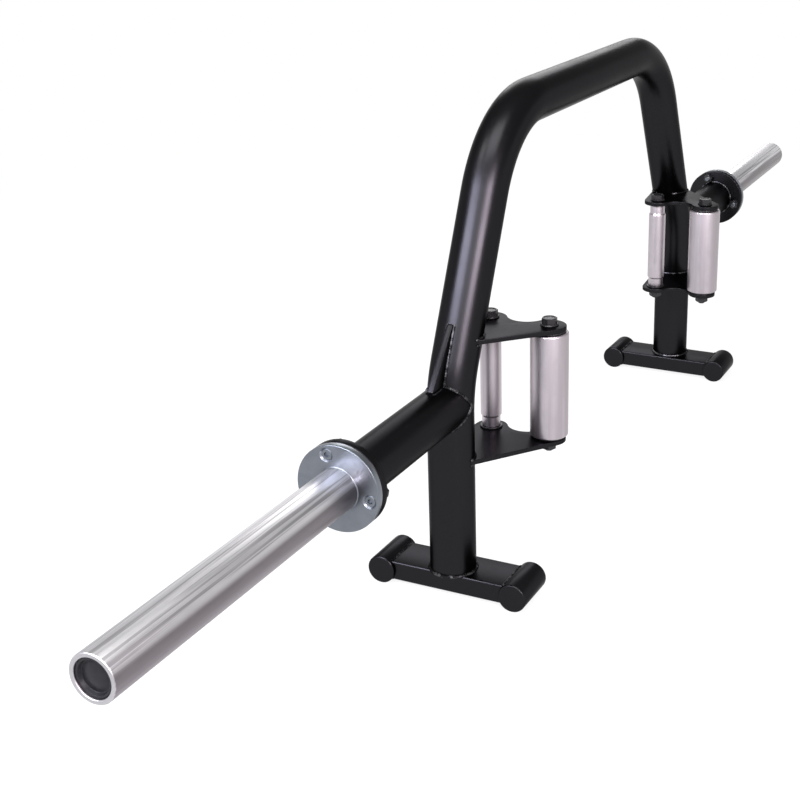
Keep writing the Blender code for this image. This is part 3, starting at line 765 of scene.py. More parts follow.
def mix_paper(stage):
    """White paper. Camera, metal and glass see it whiter far off, and shadows show near the bar."""
    recipe = Recipe("white_paper", metallic=0.0, roughness=1.0)
    recipe.constant("Base Color", (*stage.floor, 1.0))
    recipe.constant("Specular IOR Level", 0.0)
    rays = [recipe.node("ShaderNodeLightPath", {}, {}, f"Is {kind} Ray")
            for kind in ("Camera", "Glossy", "Transmission")]
    seen = recipe.maths("MINIMUM", rays[0] + rays[1] + rays[2], 1.0)
    away = recipe.vectors("LENGTH", recipe.object_place, output="Value")
    white = seen * recipe.span(away, stage.fade_start, stage.fade_end, stage.glow, 1.0)
    glow = recipe.node("ShaderNodeEmission", {}, {"Strength": 1.0}, "Emission")
    paper = Wire(recipe, recipe.shader.outputs["BSDF"])
    mixed = recipe.node("ShaderNodeMixShader", {}, {0: white, 1: paper, 2: glow}, "Shader")
    recipe.tree.links.new(mixed.socket, recipe.tree.nodes["Material Output"].inputs["Surface"])
    return recipe.finish


# Operators


def screw_spots(fasteners, name, side):
    """Centres of the screws' faces on the sleeve flange."""
    face_x = outer_end(name + "_sleeve_flange", side) - side * fasteners.screw_sink
    spots = []
    for number in range(SCREWS):
        angle = fasteners.screw_angle + FULL_TURN * number / SCREWS
        spoke = Vector((0, math.cos(angle), math.sin(angle))) * fasteners.screw_circle / 2
        spots.append(Vector((face_x, 0, SLEEVE_Z)) + spoke)
    return spots


class TRAPBAR_OT_finishes(Operator):
    """Mix the powder coats, chrome, zinc, grip steel, black oxide and plastic"""

    bl_idname = "trapbar.finishes"
    bl_label = "Finishes"

    def execute(self, context):
        colours = context.scene.trapbar_colours
        for mix in (mix_powder_coat, mix_weld_coat, mix_chrome, mix_zinc, mix_grip_steel,
                    mix_black_oxide, mix_plastic):
            mix(colours)
        return {"FINISHED"}


class TRAPBAR_OT_arch(Operator):
    """Bend the arch tube and give it its wall"""

    bl_idname = "trapbar.arch"
    bl_label = "Arch tube"

    def execute(self, context):
        tube = context.scene.trapbar_tube
        arch = bent_shell("arch_tube_fine", tube, tube.diameter / 2)
        wall = arch.modifiers.new("Wall", "SOLIDIFY")
        wall.thickness = tube.wall
        wall.offset = -1
        wall.use_even_offset = True
        apply_step(arch, wall)
        hand_over(arch, "powder_coat", "frame", "arch_tube")
        return {"FINISHED"}


class TRAPBAR_OT_stubs(Operator):
    """Cope the stub tubes onto the posts and fit the gussets above them"""

    bl_idname = "trapbar.stubs"
    bl_label = "Stub tubes and gussets"

    def execute(self, context):
        tube = context.scene.trapbar_tube
        core = arch_core(tube)
        for name, side in SIDES:
            self.make_stub(tube, name, side, core)
            self.make_gusset(tube, name, side, core)
        discard(core)
        return {"FINISHED"}

    def make_stub(self, tube, name, side, core):
        """A tube from the post's middle outwards, hollowed where the post's tube is."""
        length = abs(outer_end(name + "_stub_tube", side)) - tube.post_x
        radius = tube.diameter / 2
        stub = ring(name + "_stub_fine", radius, radius - tube.wall, length, TUBE_SIDES)
        on_sleeve_axis(stub, side * tube.post_x, side)
        carve(stub, core)
        hand_over(stub, "powder_coat", "frame", name + "_stub_tube")

    def make_gusset(self, tube, name, side, core):
        """A plate drawn past both tubes, hollowed where they are."""
        lowest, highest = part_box(name + "_gusset")
        foot_x = max(abs(lowest.x), abs(highest.x))
        top_x = leg_x(tube, highest.z)
        face_x = top_x + tube.diameter / 2 / math.cos(leg_lean(tube)) + tube.gusset_tip
        stub_top = SLEEVE_Z + tube.diameter / 2
        half = tube.gusset_thickness / 2
        corners = [
            (tube.post_x, SLEEVE_Z),
            (foot_x, SLEEVE_Z),
            (foot_x, stub_top + tube.gusset_tip),
            (face_x, highest.z),
            (top_x, highest.z),
        ]
        points = [Vector((side * x, -half, z)) for x, z in corners]
        gusset = start_point(name + "_gusset_fine", points[0])
        for before, after in zip(points, points[1:] + points[:1]):
            draw(after - before)
        bpy.ops.mesh.select_all(action="SELECT")
        bpy.ops.mesh.remove_doubles(threshold=MERGE)
        bpy.ops.mesh.edge_face_add()
        draw((0, tube.gusset_thickness, 0))
        close_up()
        soften(gusset, tube.gusset_edge)
        carve(gusset, core)
        start = (side * tube.post_x, 0, SLEEVE_Z)
        length = 2 * (foot_x - tube.post_x)
        stub_core = rod("stub_core", tube.diameter / 2 + SEAT_GAP, start, (side, 0, 0), length)
        carve(gusset, stub_core)
        discard(stub_core)
        hand_over(gusset, "powder_coat", "frame", name + "_gusset")


class TRAPBAR_OT_flanges(Operator):
    """Turn the flanges, countersink them and seat the sleeves in them"""

    bl_idname = "trapbar.flanges"
    bl_label = "Flanges"

    def execute(self, context):
        sizes = context.scene.trapbar_sleeve
        fasteners = context.scene.trapbar_fasteners
        for name, side in SIDES:
            screws = screw_spots(fasteners, name, side)
            holes = [self.make_hole(fasteners, name, spot, side) for spot in screws]
            frame_flange = self.make_disc(sizes, name + "_frame_flange", side, 0.0)
            sleeve_flange = self.make_disc(sizes, name + "_sleeve_flange", side, sizes.seat_depth)
            for hole in holes:
                carve(frame_flange, hole)
                carve(sleeve_flange, hole)
            discard(*holes)
            hand_over(frame_flange, "powder_coat", "frame", name + "_frame_flange")
            hand_over(sleeve_flange, "zinc_plating", "frame", name + "_sleeve_flange")
        return {"FINISHED"}

    def make_disc(self, sizes, node, side, seat_depth):
        """A flange, with a seat for the sleeve in its outer face if the seat has a depth."""
        size = node_size(node)
        radius = size.y / 2
        seat = sizes.diameter / 2 + SEAT_GAP
        profile = [(0, size.x - seat_depth)]
        if seat_depth:
            profile += [(seat, size.x - seat_depth), (seat, size.x)]
        profile += [(radius, size.x), (radius, 0), (0, 0)]
        disc = turned(node + "_fine", profile)
        soften(disc, sizes.flange_edge)
        return on_sleeve_axis(disc, inner_end(node, side), side)

    def make_hole(self, fasteners, name, spot, side):
        """Cutter for one countersunk hole, a little larger than the screw's shank."""
        wide = fasteners.screw_hole / 2
        shank = fasteners.screw_diameter / 2 + SEAT_GAP
        depth = node_size(name + "_frame_flange").x + node_size(name + "_sleeve_flange").x + wide
        face = fasteners.screw_sink
        profile = [
            (0, face + CUT_OVER), (wide, face + CUT_OVER), (wide, face),
            (shank, face - (wide - shank)), (shank, -depth), (0, -depth),
        ]
        return stand(turned("screw_hole", profile, SMALL_SIDES), spot, (side, 0, 0), UP)


# Chamfers of a nut, as shares of its corners' reach beyond the flats and of each other
NUT_CHAMFER = 0.9
NUT_CHAMFER_RISE = 0.6
NUT_MOUTH = 0.5

# Small forms of the flange screws and the grip bolts. The plain part is a share of the screw's
# length, the dish has shares of the head's width, and the rise is a share of the head's chamfer
SCREW_RIM = 0.0004
SCREW_TIP = 0.0008
SCREW_PLAIN_SHARE = 0.6
BOLT_TIP = 0.0012
COLLAR_SLOPE = 0.0012
COLLAR_RIM = 0.001
COLLAR_LIP = 0.0002
HEAD_DISH = 0.0007
HEAD_DISH_FLOOR = 0.36
HEAD_DISH_MOUTH = 0.42
HEAD_CHAMFER_RISE = 0.58
HEAD_OVER = 0.0001

# Slope of the flats of the grip bolts' heads and nuts, mirrored from side to side
HEAD_TURN = 0.4
NUT_TURN = 0.2


def hexagon(name, width, low, high):
    """A hexagonal bar about Z, a flat towards X."""
    choose()
    bpy.ops.mesh.primitive_cylinder_add(
        vertices=6, radius=width / math.sqrt(3), depth=high - low,
        location=(0, 0, (low + high) / 2),
    )
    return settle(name)


def make_nut(name, width, height, bore):
    """A nut chamfered at both ends, with a chamfered bore."""
    corner = width / math.sqrt(3) + SEAT_GAP
    cut = NUT_CHAMFER * (corner - width / 2)
    rise = NUT_CHAMFER_RISE * cut
    mouth = NUT_MOUTH * cut
    profile = [
        (corner, height - rise), (corner, rise), (corner - cut, 0), (bore + mouth, 0),
        (bore, mouth), (bore, height - mouth), (bore + mouth, height), (corner - cut, height),
    ]
    nut = turned(name, profile, SMALL_SIDES, closed=True)
    flats = hexagon("nut_flats", width, -height, 2 * height)
    carve(nut, flats, "INTERSECT")
    discard(flats)
    return nut


class TRAPBAR_OT_flange_fasteners(Operator):
    """Turn the countersunk flange screws and their nuts, and copy them round the flanges"""

    bl_idname = "trapbar.flange_fasteners"
    bl_label = "Flange screws and nuts"

    def execute(self, context):
        fasteners = context.scene.trapbar_fasteners
        screw = self.make_screw(fasteners)
        nut_height = node_size("right_flange_nut_1").x
        nut = make_nut("flange_nut", fasteners.flange_nut, nut_height, fasteners.screw_diameter / 2)
        for name, side in SIDES:
            for number, spot in enumerate(screw_spots(fasteners, name, side), 1):
                inward = Vector((0, -spot.y, SLEEVE_Z - spot.z))
                copy = twin(screw, f"{name}_flange_screw_{number}_fine")
                stand(copy, spot, (side, 0, 0), inward)
                hand_over(copy, "zinc_plating", "frame", f"{name}_flange_screw_{number}")
                node = f"{name}_flange_nut_{number}"
                copy = twin(nut, node + "_fine")
                stand(copy, (inner_end(node, side), spot.y, spot.z), (side, 0, 0), inward)
                hand_over(copy, "black_oxide", "frame", node)
        discard(screw, nut)
        return {"FINISHED"}

    def make_screw(self, fasteners):
        """A countersunk screw with a hexagon socket, hanging from its face at 0."""
        length = node_size("right_flange_screw_1").x
        head = fasteners.screw_head / 2 - SEAT_GAP
        shank = fasteners.screw_diameter / 2
        cone_end = shank - head
        plain = SCREW_PLAIN_SHARE * length
        profile = [(0, 0), (head - SCREW_RIM, 0), (head, -SCREW_RIM), (shank, cone_end)]
        profile += thread(shank, -plain, -length + SCREW_TIP, fasteners.fine_pitch)
        profile += [(shank - SCREW_TIP, -length), (0, -length)]
        screw = turned("flange_screw", profile, SMALL_SIDES)
        depth = fasteners.socket_depth
        socket = hexagon("screw_socket", fasteners.screw_socket, -depth, depth)
        carve(screw, socket)
        discard(socket)
        return screw


# Lean of the groove's outer wall in a cap, as a share of its depth
CAP_RIM_LEAN = 0.3


class TRAPBAR_OT_sleeves(Operator):
    """Turn the sleeves and press a grooved cap into each open end"""

    bl_idname = "trapbar.sleeves"
    bl_label = "Sleeves and caps"

    def execute(self, context):
        sizes = context.scene.trapbar_sleeve
        radius = sizes.diameter / 2
        bore = radius - sizes.wall
        for name, side in SIDES:
            node = name + "_sleeve"
            sleeve = ring(node + "_fine", radius, bore, node_size(node).x)
            soften(sleeve, sizes.chamfer)
            on_sleeve_axis(sleeve, inner_end(node, side), side)
            hand_over(sleeve, "sleeve_plating", "frame", node)
            self.make_cap(sizes, name + "_sleeve_cap", side, bore - SEAT_GAP)
        return {"FINISHED"}

    def make_cap(self, sizes, node, side, radius):
        """A plug with a raised rim, and inside it a groove round a low crown."""
        length = node_size(node).x
        inner = radius - sizes.cap_rim
        floor = length - sizes.cap_dish
        crown_radius = inner * sizes.cap_crown_share
        profile = []
        for step in range(CROWN_STEPS + 1):
            out = step / CROWN_STEPS
            profile.append((crown_radius * out, floor + sizes.cap_crown * (1 - out ** 2)))
        profile += [
            (inner - CAP_RIM_LEAN * sizes.cap_dish, floor), (inner, length), (radius, length),
            (radius, 0), (0, 0),
        ]
        cap = turned(node + "_fine", profile)
        soften(cap, sizes.cap_edge, angle=CAP_EDGE_ANGLE)
        on_sleeve_axis(cap, inner_end(node, side), side)
        hand_over(cap, "moulded_plastic", "frame", node)


class TRAPBAR_OT_feet(Operator):
    """Round the foot bars' edges and hollow their ends for the round bars"""

    bl_idname = "trapbar.feet"
    bl_label = "Feet"

    def execute(self, context):
        sizes = context.scene.trapbar_feet
        for name, _ in SIDES:
            rounds = [f"{name}_{end}_foot_round" for end in ("front", "back")]
            bar_size = node_size(name + "_foot_bar")
            bar_size.y = node_centre(rounds[1]).y - node_centre(rounds[0]).y
            choose()
            bpy.ops.mesh.primitive_cube_add(
                size=1, location=node_centre(name + "_foot_bar"), scale=bar_size
            )
            bar = settle(name + "_foot_bar_fine")
            soften(bar, sizes.bar_edge)
            for node in rounds:
                size = node_size(node)
                start = node_centre(node) - Vector((size.x / 2, 0, 0))
                seat = rod("round_seat", size.z / 2 + SEAT_GAP, start, (1, 0, 0), size.x)
                carve(bar, seat)
                discard(seat)
                end = rod(node + "_fine", size.z / 2, start, (1, 0, 0), size.x)
                soften(end, sizes.round_edge, segments=4)
                hand_over(end, "powder_coat", "frame", node)
            hand_over(bar, "powder_coat", "frame", name + "_foot_bar")
        return {"FINISHED"}


def tangent_angle(first, first_radius, second, second_radius):
    """Angle of the radii to the line that touches both circles, right of the way between them."""
    way = second - first
    lean = math.asin((first_radius - second_radius) / way.length)
    return math.atan2(way.y, way.x) - math.pi / 2 + lean


def spoke_at(angle):
    """A level direction, its angle counted from +X towards +Y."""
    return Vector((math.cos(angle), math.sin(angle), 0))


class TRAPBAR_OT_plates(Operator):
    """Draw the grip plates' outline with arcs and tangents, then drill and hollow them"""

    bl_idname = "trapbar.plates"
    bl_label = "Grip plates"

    def execute(self, context):
        tube = context.scene.trapbar_tube
        grips = context.scene.trapbar_grips
        pin_bore = context.scene.trapbar_fasteners.bolt_diameter / 2 + PIN_PLAY
        core = arch_core(tube)
        for name, side in SIDES:
            for level in ("upper", "lower"):
                node = f"{name}_{level}_grip_plate"
                lowest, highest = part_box(node)
                plate = self.draw_plate(tube, grips, node + "_fine", side, lowest.z, highest.z)
                soften(plate, grips.plate_edge)
                carve(plate, core)
                for grip in GRIPS:
                    spot = node_centre(f"{name}_{grip}_grip")
                    spot.z = lowest.z - DRILL_OVER
                    drill = rod("drill", pin_bore, spot, UP, DRILL_LENGTH)
                    carve(plate, drill)
                    discard(drill)
                hand_over(plate, "powder_coat", "frame", node)
        discard(core)
        return {"FINISHED"}

    def draw_plate(self, tube, grips, name, side, low, high):
        """The outline as drawn for the right side, mirrored over for the left one."""
        root = Vector((leg_x(tube, (low + high) / 2), 0, low))
        thick = node_centre("right_thick_grip")
        thin = node_centre("right_thin_grip")
        thick.z = low
        thin.z = low
        root_radius = tube.diameter / 2 - grips.root_inset
        lobe = grips.lobe / 2
        notch = grips.notch / 2
        middle = (thick + thin) / 2
        aside = math.sqrt((lobe + notch) ** 2 - (thin - middle).length_squared)
        hollow = middle - Vector((aside, 0, 0))
        to_thin = tangent_angle(root, root_radius, thin, lobe)
        to_root = tangent_angle(thick, lobe, root, root_radius)
        thin_to_notch = math.atan2(hollow.y - thin.y, hollow.x - thin.x)
        thick_to_notch = math.atan2(hollow.y - thick.y, hollow.x - thick.x)
        strokes = (
            (root, root_radius, to_root, (to_thin - to_root) % FULL_TURN),
            (thin, lobe, to_thin, (thin_to_notch - to_thin) % FULL_TURN),
            (hollow, notch, thin_to_notch + math.pi,
             -((thin_to_notch - thick_to_notch) % FULL_TURN)),
            (thick, lobe, thick_to_notch, (to_root - thick_to_notch) % FULL_TURN),
        )
        here = root + spoke_at(to_root) * root_radius
        first = here.copy()
        plate = start_point(name, here)
        for centre, radius, angle, turn in strokes:
            start = centre + spoke_at(angle) * radius
            if (start - here).length > TOUCHING:
                draw(start - here)
            sweep(turn, centre, UP, PLATE_ARC_STEPS)
            here = centre + spoke_at(angle + turn) * radius
        draw(first - here)
        bpy.ops.mesh.select_all(action="SELECT")
        bpy.ops.mesh.remove_doubles(threshold=OUTLINE_MERGE)
        bpy.ops.mesh.edge_face_add()
        draw((0, 0, high - low))
        close_up()
        if side < 0:
            plate.scale.x = -1
            choose(plate)
            bpy.ops.object.transform_apply(location=True, rotation=True, scale=True)
            bpy.ops.object.mode_set(mode="EDIT")
            close_up()
        return plate


class TRAPBAR_OT_grips(Operator):
    """Turn the thick grips with their bushes, and the thin grips with their necks"""

    bl_idname = "trapbar.grips"
    bl_label = "Grips"

    def execute(self, context):
        grips = context.scene.trapbar_grips
        pin_bore = context.scene.trapbar_fasteners.bolt_diameter / 2 + PIN_PLAY
        for name, _ in SIDES:
            self.make_thick(grips, name + "_thick_grip", pin_bore)
            self.make_thin(grips, name + "_thin_grip", pin_bore)
        return {"FINISHED"}

    def make_thick(self, grips, node, pin_bore):
        """A tube with chamfered ends, and a bush in each."""
        size = node_size(node)
        outer = size.x / 2
        bore = outer - grips.thick_wall
        grip = ring(node + "_fine", outer, bore, size.z)
        choose(grip)
        bpy.ops.object.mode_set(mode="EDIT")
        bpy.ops.mesh.select_mode(type="EDGE")
        bpy.ops.mesh.select_all(action="DESELECT")
        shape = bmesh.from_edit_mesh(grip.data)
        for edge in shape.edges:
            ends = [corner.co for corner in edge.verts]
            level = abs(ends[0].z - ends[1].z) < TOUCHING
            outside = all(end.xy.length > outer - TOUCHING for end in ends)
            edge.select_set(level and outside)
        bmesh.update_edit_mesh(grip.data)
        bpy.ops.mesh.bevel(offset=grips.thick_chamfer, segments=4, profile=0.5)
        bpy.ops.mesh.select_mode(type="VERT")
        close_up()
        stand(grip, foot_of(node))
        hand_over(grip, "drawn_steel", node, node)
        for level in ("lower", "upper"):
            bush_node = f"{node}_{level}_bush"
            size = node_size(bush_node)
            bush = ring(bush_node + "_fine", size.x / 2, pin_bore, size.z)
            soften(bush, grips.bush_edge, segments=2)
            stand(bush, foot_of(bush_node))
            hand_over(bush, "moulded_plastic", node, bush_node)

    def make_thin(self, grips, node, pin_bore):
        """A drilled bar with a thinner neck at each end."""
        size = node_size(node)
        outer = size.x / 2
        neck = grips.neck_diameter / 2
        slope = grips.neck_length + grips.shoulder
        profile = [
            (neck, size.z), (neck, size.z - grips.neck_length), (outer, size.z - slope),
            (outer, slope), (neck, grips.neck_length), (neck, 0), (pin_bore, 0),
            (pin_bore, size.z),
        ]
        grip = turned(node + "_fine", profile, closed=True)
        soften(grip, grips.thin_edge, angle=GRIP_EDGE_ANGLE)
        stand(grip, foot_of(node))
        hand_over(grip, "drawn_steel", node, node)


class TRAPBAR_OT_grip_fasteners(Operator):
    """Make the bolts the grips turn on, with their nuts and washers"""

    bl_idname = "trapbar.grip_fasteners"
    bl_label = "Grip bolts, nuts and washers"

    def execute(self, context):
        fasteners = context.scene.trapbar_fasteners
        bolt = self.make_bolt(fasteners)
        nut_height = node_size("right_thin_grip_nut").z
        nut = make_nut("grip_nut", fasteners.bolt_head, nut_height,
                       fasteners.bolt_diameter / 2 + SEAT_GAP)
        for name, side in SIDES:
            for grip in GRIPS:
                node = f"{name}_{grip}_grip"
                spot = node_centre(node)
                spot.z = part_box(f"{node}_bolt")[1].z
                copy = twin(bolt, f"{node}_bolt_fine")
                stand(copy, spot, UP, (1, HEAD_TURN * side, 0))
                hand_over(copy, "black_oxide", "frame", f"{node}_bolt")
                spot.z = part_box(f"{node}_nut")[0].z
                copy = twin(nut, f"{node}_nut_fine")
                stand(copy, spot, UP, (1, NUT_TURN * side, 0))
                hand_over(copy, "black_oxide", "frame", f"{node}_nut")
                for level in ("upper", "lower"):
                    self.make_washer(fasteners, f"{node}_{level}_washer")
        discard(bolt, nut)
        return {"FINISHED"}

    def make_washer(self, fasteners, node):
        """A washer between a grip and a plate."""
        size = node_size(node)
        washer = ring(node + "_fine", size.y / 2, fasteners.bolt_diameter / 2 + PIN_PLAY, size.z)
        soften(washer, fasteners.washer_edge, segments=2)
        stand(washer, foot_of(node))
        hand_over(washer, "black_oxide", "frame", node)

    def make_bolt(self, fasteners):
        """A hexagon bolt with a collar, hanging from its head's top at 0."""
        length = node_size("right_thin_grip_bolt").z
        shank = fasteners.bolt_diameter / 2
        collar = fasteners.bolt_collar / 2
        width = fasteners.bolt_head
        corner = width / math.sqrt(3)
        cut = corner - width / 2
        head_height = length - self.shank_length()
        seat = -head_height
        rim = seat + COLLAR_RIM
        collar_top = seat + fasteners.collar_height
        tip = BOLT_TIP - length
        profile = [
            (0, collar_top), (collar - COLLAR_SLOPE, collar_top), (collar, rim),
            (collar - COLLAR_LIP, seat), (shank, seat),
        ]
        profile += thread(shank, fasteners.bolt_thread - length, tip, fasteners.coarse_pitch)
        profile += [(shank - BOLT_TIP, -length), (0, -length)]
        bolt = turned("grip_bolt", profile, SMALL_SIDES)
        head_profile = [
            (0, -HEAD_DISH), (HEAD_DISH_FLOOR * width, -HEAD_DISH), (HEAD_DISH_MOUTH * width, 0),
            (corner - cut, 0), (corner + HEAD_OVER, -HEAD_CHAMFER_RISE * cut),
            (corner + HEAD_OVER, rim), (0, rim),
        ]
        head = turned("bolt_head", head_profile, SMALL_SIDES)
        flats = hexagon("bolt_flats", width, -3 * head_height, head_height)
        carve(head, flats, "INTERSECT")
        carve(bolt, head, "UNION")
        discard(head, flats)
        return bolt

    def shank_length(self):
        """From just above the plate's upper face down to the bolt's tip."""
        plate_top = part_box("right_upper_grip_plate")[1].z
        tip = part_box("right_thin_grip_bolt")[0].z
        return plate_top + SEAT_GAP - tip


# Weld beads

# How far the beads' middles lie from the faces that they join
BEAD_LIFT = 0.0004
FLANGE_LIFT = 0.0006
GUSSET_LIFT = 0.0008
SNUG_LIFT = 0.0003

# A wire that is snugged onto the tube starts this far off it, and one that is cast along the stub
# onto the post is this much narrower than the stub
WIRE_OFF = 0.001
CAST_INSIDE = 0.0002

# How far from a plate its beads reach, and from the edges of a foot bar
PLATE_REACH = 0.0022
BAR_INSET = 0.001

# A bead's wire is drawn in steps. Its radius is the named one times these shares, low between two
# ripples and more on them, and less at an open end, from where it grows step by step
WIRE_STEP = 0.001
BEAD_LOW = 0.86
BEAD_RIPPLE = 0.16
BEAD_END = 0.45
BEAD_GROWTH = 0.2

# Points of the hollow fillet between sleeve and flange, as shares of its size
FILLET_SUNK = 0.1
FILLET_NEAR = 0.2
FILLET_FAR = 0.45


def ring_wire(spot, way, radius):
    """A loop of short edges round a spot."""
    choose()
    turn = Vector(way).to_track_quat("Z", "Y").to_euler()
    bpy.ops.mesh.primitive_circle_add(
        vertices=WIRE_SIDES, radius=radius, location=spot, rotation=turn
    )
    return settle("weld_wire")


def line_wire(first, last):
    """A straight chain of short edges."""
    way = Vector(last) - Vector(first)
    wire = start_point("weld_wire", first)
    pieces = max(1, round(way.length / WIRE_STEP))
    for _ in range(pieces):
        draw(way / pieces)
    bpy.ops.object.mode_set(mode="OBJECT")
    return wire


def snug(wire, target):
    """Lays a wire on the nearest face of a piece."""
    step = wire.modifiers.new("Snug", "SHRINKWRAP")
    step.target = target
    step.wrap_method = "NEAREST_SURFACEPOINT"
    step.wrap_mode = "ABOVE_SURFACE"
    step.offset = SNUG_LIFT
    apply_step(wire, step)


def keep_points(wire, test):
    """Deletes the points of a wire that fail a test."""
    choose(wire)
    bpy.ops.object.mode_set(mode="EDIT")
    bpy.ops.mesh.select_all(action="DESELECT")
    shape = bmesh.from_edit_mesh(wire.data)
    for point in shape.verts:
        point.select_set(not test(point.co))
    bmesh.update_edit_mesh(wire.data)
    bpy.ops.mesh.delete(type="VERT")
    bpy.ops.object.mode_set(mode="OBJECT")


def near(piece, point, limit):
    """Whether a point is nearer to a piece than a limit."""
    found, spot, _, _ = piece.closest_point_on_mesh(point)
    return found and (spot - point).length < limit


def run_bead(wire, name, radius, ripple):
    """Thickens a wire to a rippled bead that tapers at its open ends."""
    choose(wire)
    bpy.ops.object.convert(target="CURVE")
    bead = bpy.context.object
    bead.name = name
    bead.data.bevel_depth = radius
    bead.data.bevel_resolution = 2
    bead.data.use_fill_caps = True
    for line in bead.data.splines:
        spots = [Vector(point.co[:3]) for point in line.points]
        travelled = 0.0
        for index, point in enumerate(line.points):
            if index:
                travelled += (spots[index] - spots[index - 1]).length
            wave = abs(math.sin(math.pi * travelled / ripple))
            taper = 1.0
            if not line.use_cyclic_u:
                to_end = min(index, len(spots) - 1 - index)
                taper = min(1.0, BEAD_END + BEAD_GROWTH * to_end)
            point.radius = taper * (BEAD_LOW + BEAD_RIPPLE * wave)
    bpy.ops.object.convert(target="MESH")
    bead = bpy.context.object
    bead.data.name = name
    choose(bead)
    bpy.ops.object.mode_set(mode="EDIT")
    close_up()
    hand_over(bead, "weld_coat", "frame")


class TRAPBAR_OT_welds(Operator):
    """Run the weld beads where tubes, plates and bars meet"""

    bl_idname = "trapbar.welds"
    bl_label = "Welds"

    def execute(self, context):
        scene = context.scene
        arch = bpy.data.objects["arch_tube_fine"]
        for name, side in SIDES:
            self.weld_foot(scene, name, side)
            self.weld_stub(scene, name, side, arch)
            self.weld_sleeve(scene, name, side)
            self.weld_gusset(scene, name, side, arch)
            for level in ("upper", "lower"):
                self.weld_plate(scene, name, side, level, arch)
        return {"FINISHED"}

    def weld_foot(self, scene, name, side):
        """Round the post's lower end, and where the foot bar meets the round bars."""
        tube = scene.trapbar_tube
        sizes = scene.trapbar_welds
        lowest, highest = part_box(name + "_foot_bar")
        spot = (side * tube.post_x, 0, highest.z + BEAD_LIFT)
        wire = ring_wire(spot, UP, tube.diameter / 2 + BEAD_LIFT)
        run_bead(wire, name + "_post_foot_weld", sizes.tube_bead, sizes.ripple)
        for end in ("front", "back"):
            node = f"{name}_{end}_foot_round"
            centre = node_centre(node)
            radius = node_size(node).z / 2
            toward = -1 if centre.y > 0 else 1
            rise = highest.z - centre.z
            y = centre.y + toward * math.sqrt(radius ** 2 - rise ** 2)
            for level, z in (("upper", highest.z), ("lower", lowest.z)):
                wire = line_wire((lowest.x + BAR_INSET, y, z), (highest.x - BAR_INSET, y, z))
                run_bead(wire, f"{name}_{end}_foot_{level}_weld", sizes.plate_bead, sizes.ripple)

    def weld_stub(self, scene, name, side, arch):
        """Round the stub tube, where it meets the post and where it meets the flange."""
        tube = scene.trapbar_tube
        sizes = scene.trapbar_welds
        radius = tube.diameter / 2
        start = (side * (tube.post_x + 2 * radius), 0, SLEEVE_Z)
        wire = ring_wire(start, (1, 0, 0), radius - CAST_INSIDE)
        for point in wire.data.vertices:
            hit, spot, _, _ = arch.ray_cast(point.co, Vector((-side, 0, 0)))
            depth = spot.x if hit else side * tube.post_x
            point.co.x = depth + side * BEAD_LIFT
        run_bead(wire, name + "_stub_post_weld", sizes.tube_bead, sizes.ripple)
        end_x = outer_end(name + "_stub_tube", side) - side * FLANGE_LIFT
        wire = ring_wire((end_x, 0, SLEEVE_Z), (1, 0, 0), radius + FLANGE_LIFT)
        run_bead(wire, name + "_stub_flange_weld", sizes.tube_bead, sizes.ripple)

    def weld_sleeve(self, scene, name, side):
        """A small hollow fillet, ground smooth and plated, between a sleeve and its flange."""
        fillet = scene.trapbar_welds.sleeve_fillet
        radius = scene.trapbar_sleeve.diameter / 2
        sunk = FILLET_SUNK * fillet
        close = FILLET_NEAR * fillet
        far = FILLET_FAR * fillet
        inner = radius - sunk
        profile = [
            (inner, 0), (radius + fillet, 0), (radius + far, close), (radius + close, far),
            (inner, fillet),
        ]
        bead = turned(name + "_sleeve_flange_weld", profile, closed=True)
        on_sleeve_axis(bead, outer_end(name + "_sleeve_flange", side) - side * sunk, side)
        hand_over(bead, "zinc_plating", "frame")

    def weld_gusset(self, scene, name, side, arch):
        """Along both flanks of the gusset, on the stub tube and on the leg."""
        tube = scene.trapbar_tube
        sizes = scene.trapbar_welds
        lowest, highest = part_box(name + "_gusset")
        foot_x = max(abs(lowest.x), abs(highest.x))
        radius = tube.diameter / 2
        flank = tube.gusset_thickness / 2 + GUSSET_LIFT
        stub_z = SLEEVE_Z + math.sqrt(radius ** 2 - flank ** 2)
        reach = math.sqrt(radius ** 2 - flank ** 2) / math.cos(leg_lean(tube))
        corner_x = tube.post_x + radius
        top_x = leg_x(tube, highest.z) + reach
        for face, y in (("front", -flank), ("back", flank)):
            wire = line_wire((side * corner_x, y, stub_z), (side * foot_x, y, stub_z))
            run_bead(wire, f"{name}_gusset_stub_{face}_weld", sizes.plate_bead, sizes.ripple)
            wire = line_wire((side * corner_x, y, stub_z), (side * top_x, y, highest.z))
            snug(wire, arch)
            run_bead(wire, f"{name}_gusset_leg_{face}_weld", sizes.plate_bead, sizes.ripple)

    def weld_plate(self, scene, name, side, level, arch):
        """Round the tube above and below a grip plate, as far as the plate reaches."""
        tube = scene.trapbar_tube
        sizes = scene.trapbar_welds
        plate = bpy.data.objects[f"{name}_{level}_grip_plate_fine"]
        lowest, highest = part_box(f"{name}_{level}_grip_plate")
        for face, z in (("top", highest.z + BEAD_LIFT), ("bottom", lowest.z - BEAD_LIFT)):
            spot = (side * leg_x(tube, z), 0, z)
            wire = ring_wire(spot, UP, tube.diameter / 2 + WIRE_OFF)
            snug(wire, arch)
            keep_points(wire, lambda point: near(plate, point, PLATE_REACH))
            run_bead(wire, f"{name}_{level}_plate_{face}_weld", sizes.plate_bead, sizes.ripple)


# Stage

# Where the lamps point, and how far away they stand
LAMP_AIM = Vector((0, 0, 0.35))
LAMP_AWAY = 3.3

